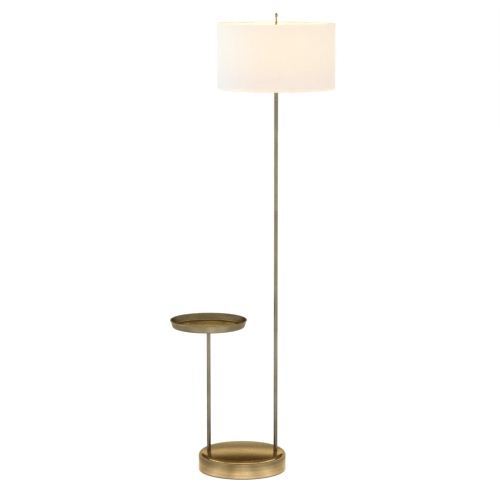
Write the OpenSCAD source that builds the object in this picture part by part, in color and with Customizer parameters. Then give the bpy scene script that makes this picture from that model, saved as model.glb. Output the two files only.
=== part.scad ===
// Floor lamp with a tray table: one round base carries a tall lamp pole and a short table pole.
// Millimetres, +Z up. The origin is the centre of the base on the floor, the front faces -Y.

/* [Base] */
// Diameter of the round base
base_d = 309; // [280:1:340]
// Height of the base at the feet of the poles
base_h = 66; // [52:1:80]
// Rise of the gently domed top from its edge to its centre
base_crown = 5; // [2:0.5:8]
// Thickness of the spun metal of the base
base_wall = 1.6; // [1:0.1:2.4]
// Radius of the rounded shoulder of the base
base_shoulder = 14; // [6:1:18]
// Distance from the edge of the base to the axis of each pole
pole_inset = 36.5; // [36:0.5:50]
// Thickness of the felt pad under the base
pad_t = 2; // [1:0.5:3]
// How far the pad stays inside the edge of the base
pad_inset = 0.8; // [0.4:0.1:1.2]
// Thickness of the bottom cover
cover_t = 2; // [1.5:0.5:3]
// Distance from the centre to each screw of the bottom cover
cover_screw_r = 100; // [80:1:105]
// Number of screws that hold the bottom cover
cover_screws_n = 3; // [3:1:6]
// Length of the screws of the bottom cover
cover_screw_l = 12; // [8:1:16]
// Gap between the cast-iron ballast and the wall of the base
weight_gap = 13.4; // [12:0.2:18]
// Thickness of the ballast disc
weight_t = 18; // [17:1:26]
// Diameter of the bosses that hold up the top of the base
boss_d = 34; // [32:1:44]
// Height of the lead inlet above the floor
inlet_z = 14; // [12:0.5:16]
// Bore of the lead inlet
inlet_bore = 7; // [5:0.5:8]

/* [Poles] */
// Outside diameter of both poles
pole_d = 14; // [13:0.5:20]
// Wall of the pole tube
pole_wall = 1; // [0.8:0.1:1.5]
// Length of the lamp pole above the base
lamp_pole_l = 1285; // [1000:1:1500]
// Length of the table pole above the base
table_pole_l = 429; // [300:0.5:560]
// Length of the threaded insert in each end of a tube
insert_l = 20; // [16:1:30]
// Chamfer at the ends of the tubes
tube_chamfer = 0.4; // [0.2:0.1:0.6]
// Thread diameter of the hollow nipples and the stud
thread_d = 10; // [9:0.5:10.5]
// Bore of the hollow nipples
nipple_bore = 7; // [5:0.5:7.5]

/* [Tray] */
// Diameter of the tray over its rim
tray_d = 272; // [220:1:320]
// Diameter of the tray at its underside
tray_bottom_d = 254; // [200:1:258]
// Height of the tray
tray_h = 27; // [20:1:45]
// Sheet thickness of the tray
tray_wall = 1.5; // [1:0.1:2]
// Radius of the rounded bottom corner of the tray
tray_corner = 7; // [4:1:10]
// Radius of the rolled rim of the tray
rim_r = 2; // [1.6:0.1:3]
// Diameter of the flange under the tray
flange_d = 64; // [58:1:90]
// Thickness of the flange
flange_t = 3; // [2:0.5:5]
// Height of the hub between the flange and the table pole
hub_h = 13; // [8:1:16]
// Diameter of the hub
hub_d = 19; // [17:0.5:24]
// Distance from the pole axis to the tray studs
tray_stud_r = 22; // [20:1:24]
// Diameter of the tray studs
tray_stud_d = 4; // [3:0.5:5]

/* [Shade] */
// Diameter of the drum shade
shade_d = 406; // [360:1:460]
// Height of the shade
shade_h = 226; // [190:0.5:280]
// Thickness of the shade cloth
cloth_t = 0.7; // [0.5:0.1:1]
// Thickness of the stiff liner
liner_t = 0.7; // [0.5:0.1:1]
// Height of the hem tapes
tape_h = 9; // [6:0.5:14]
// Thickness of the hem tapes
tape_t = 0.5; // [0.3:0.1:0.8]
// Diameter of the ring wire
ring_wire = 3.2; // [3:0.2:4]
// Diameter of the spider arms
arm_wire = 2.8; // [2:0.2:2.8]
// How far the spider washer lies below the top edge of the shade
spider_drop = 14; // [10:1:24]
// Diameter of the spider washer
washer_d = 22; // [21:1:28]
// Thickness of the spider washer
washer_t = 2; // [1.5:0.5:3]

/* [Harp] */
// Height from the saddle to the shade seat
harp_h = 198; // [190:1:230]
// Half width of the harp at its wire axis
harp_half_w = 57; // [50:1:65]
// Diameter of the harp wire
harp_wire = 3.6; // [3:0.2:4]
// Radius of the harp's upper corners
harp_top_r = 45; // [40:1:48]
// Radius of the bends near the harp's feet
harp_foot_r = 34; // [30:1:36]
// Distance from the lamp axis to each foot
harp_foot_x = 27; // [26:1:30]
// Straight length of wire above each foot
harp_leg_l = 14; // [13:1:18]
// Width of the saddle strip
saddle_w = 14; // [13:1:18]
// Thickness of the saddle strip
saddle_t = 2; // [1.5:0.5:2.5]
// Rise of the saddle ends above its base
saddle_rise = 14; // [10:1:18]
// Diameter of the pegs on the saddle ends
peg_d = 3.2; // [2.6:0.2:3.4]
// Length of the pegs
peg_l = 7; // [5:1:8]
// Diameter of the sleeve at each foot of the harp
foot_d = 5.8; // [5.4:0.2:6.4]
// Height of the foot sleeves and of the ferrules
foot_h = 12; // [10:1:14]
// Largest diameter of the ferrules
ferrule_d = 10.4; // [9:0.2:11]
// Diameter of the threaded stud for the finial
stud_d = 6.2; // [5.6:0.2:6.6]
// Length of the stud above the shade seat
stud_l = 14; // [12:1:16]
// Thickness of the seat plate
seat_t = 2; // [1.5:0.5:3]
// Diameter of the seat plate
seat_d = 15; // [13:0.5:16]

/* [Finial] */
// Height of the finial
finial_h = 47; // [38:1:60]
// Diameter of the foot of the finial
finial_foot_d = 15; // [13:0.5:16]
// Diameter of the neck of the finial
finial_neck_d = 5; // [4:0.5:7]
// Diameter of the knob of the finial
finial_knob_d = 10; // [8:0.5:14]

/* [Lamp holder] */
// Height of the turned cap on top of the pole
pole_cap_h = 10; // [6:1:16]
// Diameter of the turned cap
pole_cap_d = 18; // [16:0.5:22]
// Outside diameter of the holder's cap
holder_cap_d = 37.2; // [36:0.2:40]
// Height of the holder's cap
holder_cap_h = 20; // [18:1:22]
// Sheet thickness of the holder
holder_wall = 0.8; // [0.6:0.1:1]
// Height of the whole lamp holder
holder_h = 62; // [60:1:70]
// Thickness of the insulating liner
insulator_t = 0.6; // [0.4:0.1:0.8]
// Height of the core's top above the saddle
core_top = 38; // [36:1:40]
// Height of the switch axis above the saddle
switch_z = 27; // [26:0.5:29]
// Diameter of the switch shaft
shaft_d = 5; // [4:0.5:5]
// Reach of the switch shaft from the lamp axis
shaft_reach = 40; // [36:1:46]
// Width of the switch key
key_w = 17; // [14:1:20]

/* [Bulb] */
// Diameter of the bulb's threaded cap
bulb_cap_d = 26; // [25.6:0.1:26.4]
// Height of the bulb's threaded cap
bulb_cap_h = 25; // [22:1:27]
// Diameter of the globe
globe_d = 60; // [50:1:66]
// Length of the whole bulb
bulb_l = 108; // [100:1:116]
// Wall of the globe
globe_wall = 1.2; // [0.8:0.1:1.6]

/* [Clearances] */
// Radial gap in the threads and the running fits
thread_gap = 0.05; // [0.03:0.01:0.08]
// Gap between sheets that lie on each other
sheet_gap = 0.05; // [0.03:0.01:0.1]
// Radial gap where a piece drops into another
slip_gap = 0.3; // [0.2:0.05:0.5]
// Gap above the shade washer, so that the shade turns without the finial
turn_gap = 0.2; // [0.1:0.05:0.3]

/* [Hidden] */
$fn = 96;
base_r = base_d / 2;
pole_x = base_r - pole_inset;
lamp_x = pole_x;
table_x = -pole_x;
thread_r = thread_d / 2;
cover_z = pad_t;
weight_z = pad_t + cover_t;
weight_r = base_r - base_wall - weight_gap;
boss_top = base_h - base_wall;
boss_edge = 5;
seat_r = pole_d / 2 + 2;

// the domed top is part of a large sphere that passes through the feet of the poles
crown_edge = base_r - base_shoulder;
crown_r = (crown_edge * crown_edge + base_crown * base_crown) / (2 * base_crown);
crown_z = base_h - sqrt(crown_r * crown_r - pole_x * pole_x);
shoulder_z = crown_z + sqrt(crown_r * crown_r - crown_edge * crown_edge);

// washers, nuts and pockets of the pole anchors
pocket_d = 30;
pocket_h = 11;
anchor_washer_d = 26;
anchor_washer_t = 1.5;
nut_flats = 17;
nut_t = 6;
anchor_tail = 1.5;
washer_z = weight_z + pocket_h - anchor_washer_t;
nut_z = washer_z - nut_t;
anchor_z = nut_z - anchor_tail;
anchor_grip = 18;

// bottom cover screws and the lead inlet
cover_screw_d = 5;
cover_head_d = 9.5;
first_screw_a = 90;
channel_w = 9;
inlet_wall = 1.4;
inlet_flange = 2.2;
inlet_flange_t = 2.5;
inlet_tail = weight_gap / 2;
inlet_lock_t = 2;

// levels of the table pole and the tray
hub_z = base_h + table_pole_l;
flange_z = hub_z + hub_h;
tray_z = flange_z + flange_t;
tray_r = tray_d / 2 - 2 * rim_r + tray_wall;
tray_slope = atan((tray_r - tray_bottom_d / 2) / (tray_h - rim_r));
tray_nut_flats = 7;
tray_nut_t = 3.2;
tray_stud_tail = 1;

// levels of the lamp pole, the holder, the harp and the shade
pole_top = base_h + lamp_pole_l;
lamp_pole_n = 3;
section_l = lamp_pole_l / lamp_pole_n;
joiner_l = 2 * anchor_grip;
saddle_z = pole_top + pole_cap_h;
holder_z = saddle_z + saddle_t;
seat_z = saddle_z + harp_h;
washer_top = seat_z + washer_t;
shade_top = seat_z + spider_drop;
shade_z = shade_top - shade_h;

// radii of the shade's layers, from the outside inwards
cloth_r = shade_d / 2;
liner_r = cloth_r - cloth_t - sheet_gap;
liner_in = liner_r - liner_t;
ring_r = liner_in - slip_gap / 2 - ring_wire / 2;
edge_gap = 0.4;
ring_drop = ring_wire / 2 + 2;
arms_n = 3;
arm_sink = 0.5;

// harp: two equal bends set each leg out from its foot
ledge_t = 1.6;
foot_z = saddle_z + saddle_rise + ledge_t;
ledge_d = 9;
bend_a = acos(1 - (harp_half_w - harp_foot_x) / (2 * harp_foot_r));
bend_z = foot_z + foot_h + harp_leg_l;
side_z = bend_z + 2 * harp_foot_r * sin(bend_a);
harp_top = seat_z - seat_t - harp_wire / 2 - 0.1;
boss_r = 4.5;
joint_swell = 0.3;
joint_l = 1.2;
ferrule_tip = 1.1;

// lamp holder, from the outside inwards
holder_neck_d = 15;
holder_neck_h = 4;
cup_z = holder_z + 3;
cup_round = 9;
shell_r = holder_cap_d / 2 - holder_wall - 0.4;
shell_t = 0.6;
shell_z = holder_z + 12.2;
insulator_r = shell_r - shell_t - 0.1;
core_r = insulator_r - insulator_t - 0.2;
core_z = holder_z + 12.4;
screw_r = bulb_cap_d / 2 + 0.08;
screw_t = 0.6;
screw_z = holder_z + core_top;
screw_h = 22;
contact_h = 3;
contact_gap = 0.3;
bulb_z = screw_z + contact_h + contact_gap;
key_t = 3.4;
key_l = 13;
key_neck_d = 8;

brass = "#8f7a48";
steel = "#b9b9b4";
iron = "#4a4a48";
linen = "#f6f0e4";

// Half section of the base: a drum with a rounded shoulder under a large sphere, offset inwards
module base_outline(inset) {
    intersection() {
        union() {
            square([crown_edge, base_h + base_crown]);
            square([base_r - inset, shoulder_z - base_shoulder]);
            translate([crown_edge, shoulder_z - base_shoulder]) circle(base_shoulder - inset);
        }
        translate([0, crown_z]) circle(crown_r - inset, $fn = 4 * $fn);
    }
}

// Half section of an upright drum with a rounded upper edge
module drum_outline(r, h, round) {
    square([r - round, h]);
    square([r, h - round]);
    translate([r - round, h - round]) circle(round);
}

// Half section of a dish whose wall leans out by the given angle, with a rounded lower corner
module dish_outline(r, h, round, lean) {
    centre_x = r + round * tan(lean) - round / cos(lean);
    polygon([
        [0, 0],
        [centre_x, 0],
        [centre_x + round * cos(lean), round - round * sin(lean)],
        [r + h * tan(lean), h],
        [0, h]
    ]);
    translate([centre_x, round]) circle(round);
}

// Hexagonal nut with its axis up
module hex_nut(flats, h, bore_r) {
    difference() {
        cylinder(r = flats / 2 / cos(30), h = h, $fn = 6);
        translate([0, 0, -1]) cylinder(r = bore_r, h = h + 2);
    }
}

// Hollow threaded pipe between two heights
module nipple(z0, z1) {
    translate([0, 0, z0]) difference() {
        cylinder(r = thread_r, h = z1 - z0);
        translate([0, 0, -1]) cylinder(d = nipple_bore, h = z1 - z0 + 2);
    }
}

// One length of pole tube with a threaded insert in each end
module tube(z0, l) {
    outer = pole_d / 2;
    inner = outer - pole_wall;
    bore = thread_r + thread_gap;
    translate([0, 0, z0]) rotate_extrude() polygon([
        [bore, 0],
        [outer - tube_chamfer, 0],
        [outer, tube_chamfer],
        [outer, l - tube_chamfer],
        [outer - tube_chamfer, l],
        [bore, l],
        [bore, l - insert_l],
        [inner, l - insert_l],
        [inner, insert_l],
        [bore, insert_l]
    ]);
}

module at_lamp() {
    translate([lamp_x, 0, 0]) children();
}

module at_table() {
    translate([table_x, 0, 0]) children();
}

module at_poles() {
    at_lamp() children();
    at_table() children();
}

module at_cover_screws() {
    for (i = [0 : cover_screws_n - 1])
        rotate([0, 0, first_screw_a + i * 360 / cover_screws_n])
            translate([cover_screw_r, 0, cover_z]) children();
}

module at_tray_studs() {
    at_table() for (a = [30, 150, 270])
        rotate([0, 0, a]) translate([tray_stud_r, 0, 0]) children();
}

// ---- base ----

module base_pad() {
    color("#3f3d38") cylinder(r = base_r - pad_inset, h = pad_t);
}

module base_cover() {
    color(steel) difference() {
        translate([0, 0, cover_z]) cylinder(r = base_r - base_wall - slip_gap, h = cover_t);
        at_cover_screws() cylinder(
            r1 = cover_head_d / 2 + thread_gap,
            r2 = cover_screw_d / 2 + thread_gap,
            h = cover_t
        );
    }
}

module cover_screws() {
    color(steel) at_cover_screws() {
        cylinder(r1 = cover_head_d / 2, r2 = cover_screw_d / 2, h = cover_t);
        cylinder(d = cover_screw_d, h = cover_screw_l);
    }
}

module base_weight() {
    channel_h = inlet_z + channel_w / 2 - weight_z;
    channel_a = atan2(weight_r, -lamp_x);
    color(iron) difference() {
        union() {
            translate([0, 0, weight_z]) cylinder(r = weight_r, h = weight_t);
            at_poles() {
                translate([0, 0, weight_z]) cylinder(d = boss_d, h = boss_top - boss_edge - weight_z);
                translate([0, 0, boss_top - boss_edge])
                    cylinder(r1 = boss_d / 2, r2 = seat_r, h = boss_edge);
            }
        }
        at_poles() {
            cylinder(r = thread_r + slip_gap, h = base_h);
            translate([0, 0, weight_z - 1]) cylinder(d = pocket_d, h = pocket_h + 1);
        }
        at_lamp() rotate([0, 0, channel_a]) translate([0, -channel_w / 2, weight_z - 1])
            cube([base_d, channel_w, channel_h + 1]);
        at_cover_screws() cylinder(r = cover_screw_d / 2 + thread_gap, h = cover_screw_l + 1);
    }
}

// Spun shell of the base with a flat seat for each pole
module base_shell() {
    color(brass) difference() {
        union() {
            rotate_extrude() difference() {
                base_outline(0);
                base_outline(base_wall);
                square([base_d, pad_t]);
            }
            at_poles() translate([0, 0, boss_top]) cylinder(r = seat_r, h = base_wall);
        }
        at_poles() {
            cylinder(r = thread_r + slip_gap, h = base_h + 1);
            translate([0, 0, base_h]) cylinder(r = seat_r, h = base_crown);
            translate([0, 0, boss_top - base_crown]) cylinder(r = seat_r, h = base_crown);
        }
        translate([0, base_r, inlet_z]) rotate([90, 0, 0])
            cylinder(r = inlet_bore / 2 + inlet_wall + thread_gap, h = base_r / 2);
    }
}

// Bushing in the rear wall of the base, where the lead goes in
module inlet_bushing() {
    barrel_r = inlet_bore / 2 + inlet_wall;
    barrel_l = base_wall + inlet_tail;
    lock_y = base_r - base_wall - slip_gap;
    color("#2b2a28") difference() {
        union() {
            translate([0, base_r, inlet_z]) rotate([-90, 0, 0])
                cylinder(r = barrel_r + inlet_flange, h = inlet_flange_t);
            translate([0, base_r, inlet_z]) rotate([90, 0, 0])
                cylinder(r = barrel_r, h = barrel_l);
            translate([0, lock_y, inlet_z]) rotate([90, 0, 0])
                cylinder(r1 = barrel_r + 0.8, r2 = barrel_r, h = inlet_lock_t);
        }
        translate([0, base_r + inlet_flange_t + 1, inlet_z]) rotate([90, 0, 0])
            cylinder(d = inlet_bore, h = barrel_l + inlet_flange_t + 2);
    }
}

module anchor_washers() {
    color(steel) at_poles() translate([0, 0, washer_z]) difference() {
        cylinder(d = anchor_washer_d, h = anchor_washer_t);
        translate([0, 0, -1]) cylinder(r = thread_r + slip_gap, h = anchor_washer_t + 2);
    }
}

module anchor_nuts() {
    color(steel) at_poles() translate([0, 0, nut_z])
        hex_nut(nut_flats, nut_t, thread_r + thread_gap);
}

module lamp_nipple() {
    color(steel) at_lamp() nipple(anchor_z, base_h + anchor_grip);
}

module table_stud() {
    color(steel) at_table() translate([0, 0, anchor_z])
        cylinder(r = thread_r, h = base_h + anchor_grip - anchor_z);
}

// ---- poles ----

module lamp_pole_lower() {
    color(brass) at_lamp() tube(base_h, section_l);
}

module lamp_pole_middle() {
    color(brass) at_lamp() tube(base_h + section_l, section_l);
}

module lamp_pole_upper() {
    color(brass) at_lamp() tube(base_h + 2 * section_l, section_l);
}

module pole_joiners() {
    color(steel) at_lamp() for (i = [1 : lamp_pole_n - 1]) {
        joint_z = base_h + i * section_l;
        nipple(joint_z - joiner_l / 2, joint_z + joiner_l / 2);
    }
}

module table_pole() {
    color(brass) at_table() tube(base_h, table_pole_l);
}

// ---- tray ----

// Flange, hub and threaded spigot that carry the tray on the table pole
module tray_flange() {
    color(brass) difference() {
        at_table() {
            translate([0, 0, flange_z]) cylinder(d = flange_d, h = flange_t);
            translate([0, 0, hub_z]) cylinder(d = hub_d, h = hub_h);
            translate([0, 0, hub_z - anchor_grip]) cylinder(r = thread_r, h = anchor_grip + 1);
        }
        at_tray_studs() translate([0, 0, flange_z - 1])
            cylinder(r = tray_stud_d / 2 + thread_gap, h = flange_t + 2);
    }
}

module tray() {
    inner_r = tray_bottom_d / 2 - tray_wall / cos(tray_slope) + tray_wall * tan(tray_slope);
    stud_l = flange_t + tray_nut_t + tray_stud_tail;
    color(brass) union() {
        at_table() translate([0, 0, tray_z]) rotate_extrude() {
            difference() {
                dish_outline(tray_bottom_d / 2, tray_h - rim_r, tray_corner, tray_slope);
                translate([0, tray_wall])
                    dish_outline(inner_r, tray_h - rim_r, tray_corner - tray_wall, tray_slope);
                translate([-tray_corner, 0]) square([tray_corner, tray_h]);
            }
            translate([tray_r - tray_wall + rim_r, tray_h - rim_r]) circle(rim_r);
        }
        at_tray_studs() translate([0, 0, tray_z - stud_l])
            cylinder(d = tray_stud_d, h = stud_l + tray_wall / 2);
    }
}

module tray_nuts() {
    color(steel) at_tray_studs() translate([0, 0, flange_z - tray_nut_t])
        hex_nut(tray_nut_flats, tray_nut_t, tray_stud_d / 2 + thread_gap);
}

// ---- harp ----

// Turned collar on top of the lamp pole
module pole_cap() {
    bore = thread_r + thread_gap;
    edge = 1.5;
    color(brass) at_lamp() translate([0, 0, pole_top]) rotate_extrude() polygon([
        [bore, 0],
        [pole_d / 2, 0],
        [pole_cap_d / 2, edge],
        [pole_cap_d / 2, pole_cap_h - edge],
        [pole_cap_d / 2 - edge, pole_cap_h],
        [bore, pole_cap_h]
    ]);
}

module top_nipple() {
    color(steel) at_lamp() nipple(pole_top - anchor_grip, holder_z + holder_neck_h + 4);
}

module harp_saddle() {
    outer_x = harp_foot_x + saddle_t / 2;
    turn = 4;
    color(brass) at_lamp() translate([0, 0, saddle_z]) difference() {
        union() {
            translate([0, saddle_w / 2, 0]) rotate([90, 0, 0]) linear_extrude(saddle_w) polygon([
                [-outer_x, saddle_rise],
                [-outer_x, turn],
                [turn - outer_x, 0],
                [outer_x - turn, 0],
                [outer_x, turn],
                [outer_x, saddle_rise],
                [outer_x - saddle_t, saddle_rise],
                [outer_x - saddle_t, turn + saddle_t / 2],
                [outer_x - turn - saddle_t / 2, saddle_t],
                [turn + saddle_t / 2 - outer_x, saddle_t],
                [saddle_t - outer_x, turn + saddle_t / 2],
                [saddle_t - outer_x, saddle_rise]
            ]);
            for (side = [-1, 1]) translate([side * harp_foot_x, 0, saddle_rise]) {
                cylinder(d = ledge_d, h = ledge_t);
                cylinder(d = peg_d, h = ledge_t + peg_l);
            }
        }
        translate([0, 0, -1]) cylinder(r = thread_r + slip_gap, h = saddle_t + 2);
    }
}

// An arc of harp wire in the upright plane of the harp
module wire_arc(x, z, r, from, sweep) {
    translate([x, 0, z]) rotate([90, 0, 0]) rotate([0, 0, from])
        rotate_extrude(angle = sweep) translate([r, 0]) circle(d = harp_wire);
}

// Short collar over the joint between two stretches of harp wire, leaning by the given angle
module wire_joint(x, z, lean) {
    translate([x, 0, z]) rotate([0, lean, 0])
        cylinder(d = harp_wire + joint_swell, h = joint_l, center = true);
}

module harp_leg() {
    wire_joint(harp_foot_x, bend_z, 0);
    wire_joint((harp_foot_x + harp_half_w) / 2, (bend_z + side_z) / 2, bend_a);
    wire_joint(harp_half_w, side_z, 0);
    wire_joint(harp_half_w, harp_top - harp_top_r, 0);
    wire_joint(harp_half_w - harp_top_r, harp_top, 90);
    difference() {
        translate([harp_foot_x, 0, foot_z]) cylinder(d = foot_d, h = foot_h);
        translate([harp_foot_x, 0, foot_z - 1])
            cylinder(r = peg_d / 2 + thread_gap, h = peg_l + 2);
    }
    translate([harp_foot_x, 0, foot_z + foot_h - 1]) cylinder(d = harp_wire, h = harp_leg_l + 1);
    wire_arc(harp_foot_x + harp_foot_r, bend_z, harp_foot_r, 180 - bend_a, bend_a);
    wire_arc(harp_half_w - harp_foot_r, side_z, harp_foot_r, -bend_a, bend_a);
    translate([harp_half_w, 0, side_z]) cylinder(d = harp_wire, h = harp_top - harp_top_r - side_z);
    wire_arc(harp_half_w - harp_top_r, harp_top - harp_top_r, harp_top_r, 0, 90);
}

module harp() {
    top_l = harp_half_w - harp_top_r;
    color(brass) at_lamp() {
        harp_leg();
        mirror([1, 0, 0]) harp_leg();
        translate([-top_l, 0, harp_top]) rotate([0, 90, 0])
            cylinder(d = harp_wire, h = 2 * top_l);
    }
}

// Boss on the harp wire with the shade seat and the stud for the finial
module harp_seat() {
    boss_h = harp_wire + 2.4;
    color(brass) at_lamp() difference() {
        union() {
            translate([0, 0, seat_z - seat_t - boss_h]) cylinder(r = boss_r, h = boss_h + 0.5);
            translate([0, 0, seat_z - seat_t]) cylinder(d = seat_d, h = seat_t);
            translate([0, 0, seat_z - 0.5]) cylinder(d = stud_d, h = stud_l + 0.5);
        }
        translate([-seat_d, 0, harp_top]) rotate([0, 90, 0])
            cylinder(r = harp_wire / 2 + thread_gap, h = 2 * seat_d);
    }
}

// Sleeve that locks a foot of the harp to the saddle and slides up to let it go
module ferrule(side) {
    bore = foot_d / 2 + 0.08;
    edge = 0.8;
    color(brass) at_lamp() translate([side * harp_foot_x, 0, foot_z]) rotate_extrude() polygon([
        [bore, 0],
        [ferrule_d / 2 - edge, 0],
        [ferrule_d / 2, edge],
        [bore + ferrule_tip, foot_h - edge / 2],
        [bore + ferrule_tip / 2, foot_h],
        [bore, foot_h]
    ]);
}

module ferrule_left() {
    ferrule(-1);
}

module ferrule_right() {
    ferrule(1);
}

// ---- lamp holder ----

module holder_cap() {
    cup_h = holder_z + holder_cap_h - cup_z;
    color(brass) at_lamp() difference() {
        union() {
            translate([0, 0, holder_z]) cylinder(d = holder_neck_d, h = holder_neck_h);
            translate([0, 0, cup_z]) rotate_extrude() translate([0, cup_h]) mirror([0, 1])
                difference() {
                    drum_outline(holder_cap_d / 2, cup_h, cup_round);
                    translate([0, -1]) drum_outline(
                        holder_cap_d / 2 - holder_wall,
                        cup_h - holder_wall + 1,
                        cup_round - holder_wall
                    );
                }
        }
        translate([0, 0, holder_z - 1]) cylinder(r = thread_r + thread_gap, h = holder_cap_h);
    }
}

module holder_shell() {
    top = holder_z + holder_h;
    bead = 0.9;
    color(brass) at_lamp() difference() {
        union() {
            translate([0, 0, shell_z]) cylinder(r = shell_r, h = top - shell_z);
            translate([0, 0, top - 3 * bead]) rotate_extrude() translate([shell_r - bead / 3, 0])
                circle(bead);
        }
        translate([0, 0, shell_z - 1]) cylinder(r = shell_r - shell_t, h = top - shell_z + 2);
        translate([0, 0, holder_z + switch_z]) rotate([90, 0, 0])
            cylinder(d = shaft_d + 2, h = holder_cap_d);
    }
}

module holder_insulator() {
    l = holder_z + holder_h + 1.5 - shell_z;
    color("#d9cfb4") at_lamp() difference() {
        translate([0, 0, shell_z]) cylinder(r = insulator_r, h = l);
        translate([0, 0, shell_z - 1]) cylinder(r = insulator_r - insulator_t, h = l + 2);
        translate([0, 0, holder_z + switch_z]) rotate([90, 0, 0])
            cylinder(d = shaft_d + 2, h = holder_cap_d);
    }
}

module holder_core() {
    shaft_seat = 12;
    color("#2f2a26") at_lamp() difference() {
        translate([0, 0, core_z]) cylinder(r = core_r, h = screw_z - core_z);
        translate([0, shaft_seat - core_r - 1, holder_z + switch_z]) rotate([90, 0, 0])
            cylinder(r = shaft_d / 2 + thread_gap, h = core_r);
        translate([0, 0, core_z - 1]) cylinder(r = thread_r + slip_gap, h = 5);
    }
}

module screw_shell() {
    lip = 1;
    color(steel) at_lamp() translate([0, 0, screw_z]) difference() {
        union() {
            cylinder(r = screw_r + screw_t, h = screw_h);
            translate([0, 0, screw_h - lip]) cylinder(r = screw_r + screw_t + lip, h = lip);
        }
        translate([0, 0, screw_t]) cylinder(r = screw_r, h = screw_h);
        translate([0, 0, -1]) cylinder(r = 5.5, h = screw_h);
    }
}

module centre_contact() {
    color("#b58a4a") at_lamp() translate([0, 0, screw_z]) {
        cylinder(r = 3.2, h = 0.8);
        cylinder(r1 = 2.4, r2 = 1.4, h = contact_h);
    }
}

module switch_shaft() {
    shaft_in = 5;
    color("#2f2a26") at_lamp() translate([0, -shaft_in, holder_z + switch_z])
        rotate([90, 0, 0]) cylinder(d = shaft_d, h = shaft_reach - shaft_in);
}

// Flat turn key with a round neck, on the end of the switch shaft
module switch_key() {
    grip = 4;
    color("#2f2a26") at_lamp() translate([0, -shaft_reach, holder_z + switch_z])
        rotate([90, 0, 0]) difference() {
            union() {
                translate([0, 0, -grip]) cylinder(d = key_neck_d, h = grip + 2);
                intersection() {
                    translate([-key_w / 2, -key_t / 2, 0]) cube([key_w, key_t, key_l]);
                    translate([0, key_t, key_l / 2 - 1]) rotate([90, 0, 0])
                        cylinder(d = key_w, h = 2 * key_t);
                }
            }
            translate([0, 0, -grip - 1]) cylinder(r = shaft_d / 2 + 0.02, h = grip + 1);
        }
}

// ---- bulb ----

module bulb_cap() {
    cap_r = bulb_cap_d / 2;
    color(steel) at_lamp() translate([0, 0, bulb_z]) rotate_extrude() polygon([
        [0, 0],
        [4, 0],
        [5, 1],
        [cap_r - 2.5, 3.6],
        [cap_r, 5.6],
        [cap_r, bulb_cap_h],
        [0, bulb_cap_h]
    ]);
}

// Radius of the globe at a share t of the way from its cap to its widest ring
function globe_r(t) = bulb_cap_d / 2 + (globe_d - bulb_cap_d) / 2 * (3 * t * t - 2 * t * t * t);

module globe_outline(inset) {
    widest = bulb_l - globe_d / 2;
    steps = 14;
    rise = widest - bulb_cap_h;
    polygon(concat(
        [[0, bulb_cap_h]],
        [for (i = [0 : steps]) [globe_r(i / steps) - inset, bulb_cap_h + rise * i / steps]],
        [[0, widest]]
    ));
    intersection() {
        translate([0, widest]) circle(globe_d / 2 - inset);
        translate([0, widest]) square([globe_d / 2, globe_d / 2]);
    }
}

module bulb_globe() {
    color(linen) at_lamp() translate([0, 0, bulb_z]) rotate_extrude() difference() {
        globe_outline(0);
        globe_outline(globe_wall);
    }
}

// ---- shade ----

module sleeve(r, t, z, h) {
    at_lamp() translate([0, 0, z]) difference() {
        cylinder(r = r, h = h);
        translate([0, 0, -1]) cylinder(r = r - t, h = h + 2);
    }
}

module shade_cloth() {
    color(linen) sleeve(cloth_r, cloth_t, shade_z, shade_h);
}

module shade_liner() {
    color("white") sleeve(liner_r, liner_t, shade_z + edge_gap, shade_h - 2 * edge_gap);
}

module shade_tapes() {
    tape_r = cloth_r + sheet_gap + tape_t;
    color(linen) {
        sleeve(tape_r, tape_t, shade_top - tape_h, tape_h);
        sleeve(tape_r, tape_t, shade_z, tape_h);
    }
}

module shade_ring(z) {
    at_lamp() translate([0, 0, z]) rotate_extrude() translate([ring_r, 0]) circle(d = ring_wire);
}

// Washer in the middle of the spider; it lies on the harp's seat
module shade_washer() {
    color(brass) at_lamp() translate([0, 0, seat_z]) difference() {
        cylinder(d = washer_d, h = washer_t);
        translate([0, 0, -1]) cylinder(r = stud_d / 2 + 0.08, h = washer_t + 2);
    }
}

// Top ring of the shade with the arms that run to the washer
module shade_spider() {
    arm_start = washer_d / 2 + 0.1;
    arm_z = washer_top - arm_sink - arm_wire / 2;
    ring_z = shade_top - ring_drop;
    reach = ring_r - arm_start;
    rise = ring_z - arm_z;
    color(brass) {
        shade_ring(ring_z);
        at_lamp() for (i = [0 : arms_n - 1]) rotate([0, 0, 90 + i * 360 / arms_n])
            translate([arm_start, 0, arm_z]) rotate([0, 90 - atan(rise / reach), 0])
                cylinder(d = arm_wire, h = sqrt(reach * reach + rise * rise));
    }
}

module shade_bottom_ring() {
    color(brass) shade_ring(shade_z + ring_drop);
}

// Turned finial: foot, slim neck, round knob and a point
module finial() {
    foot_r = finial_foot_d / 2;
    wall_r = stud_d / 2 + 1.2;
    knob_r = finial_knob_d / 2;
    neck_z = stud_l + 2;
    knob_z = finial_h - 1.75 * knob_r;
    color(brass) at_lamp() translate([0, 0, washer_top + turn_gap]) difference() {
        union() {
            rotate_extrude() polygon([
                [0, 0],
                [foot_r, 0],
                [foot_r, 2],
                [foot_r - 1.2, 3.2],
                [wall_r, 5],
                [wall_r, neck_z - 1],
                [wall_r - 0.8, neck_z],
                [finial_neck_d / 2, neck_z + 1.5],
                [finial_neck_d / 2, knob_z],
                [0, knob_z]
            ]);
            translate([0, 0, knob_z]) sphere(knob_r);
            translate([0, 0, knob_z]) cylinder(r1 = 0.8 * knob_r, r2 = 0.8, h = finial_h - knob_z);
        }
        translate([0, 0, -1]) cylinder(r = stud_d / 2 + thread_gap, h = stud_l - washer_t + 2);
    }
}

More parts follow.
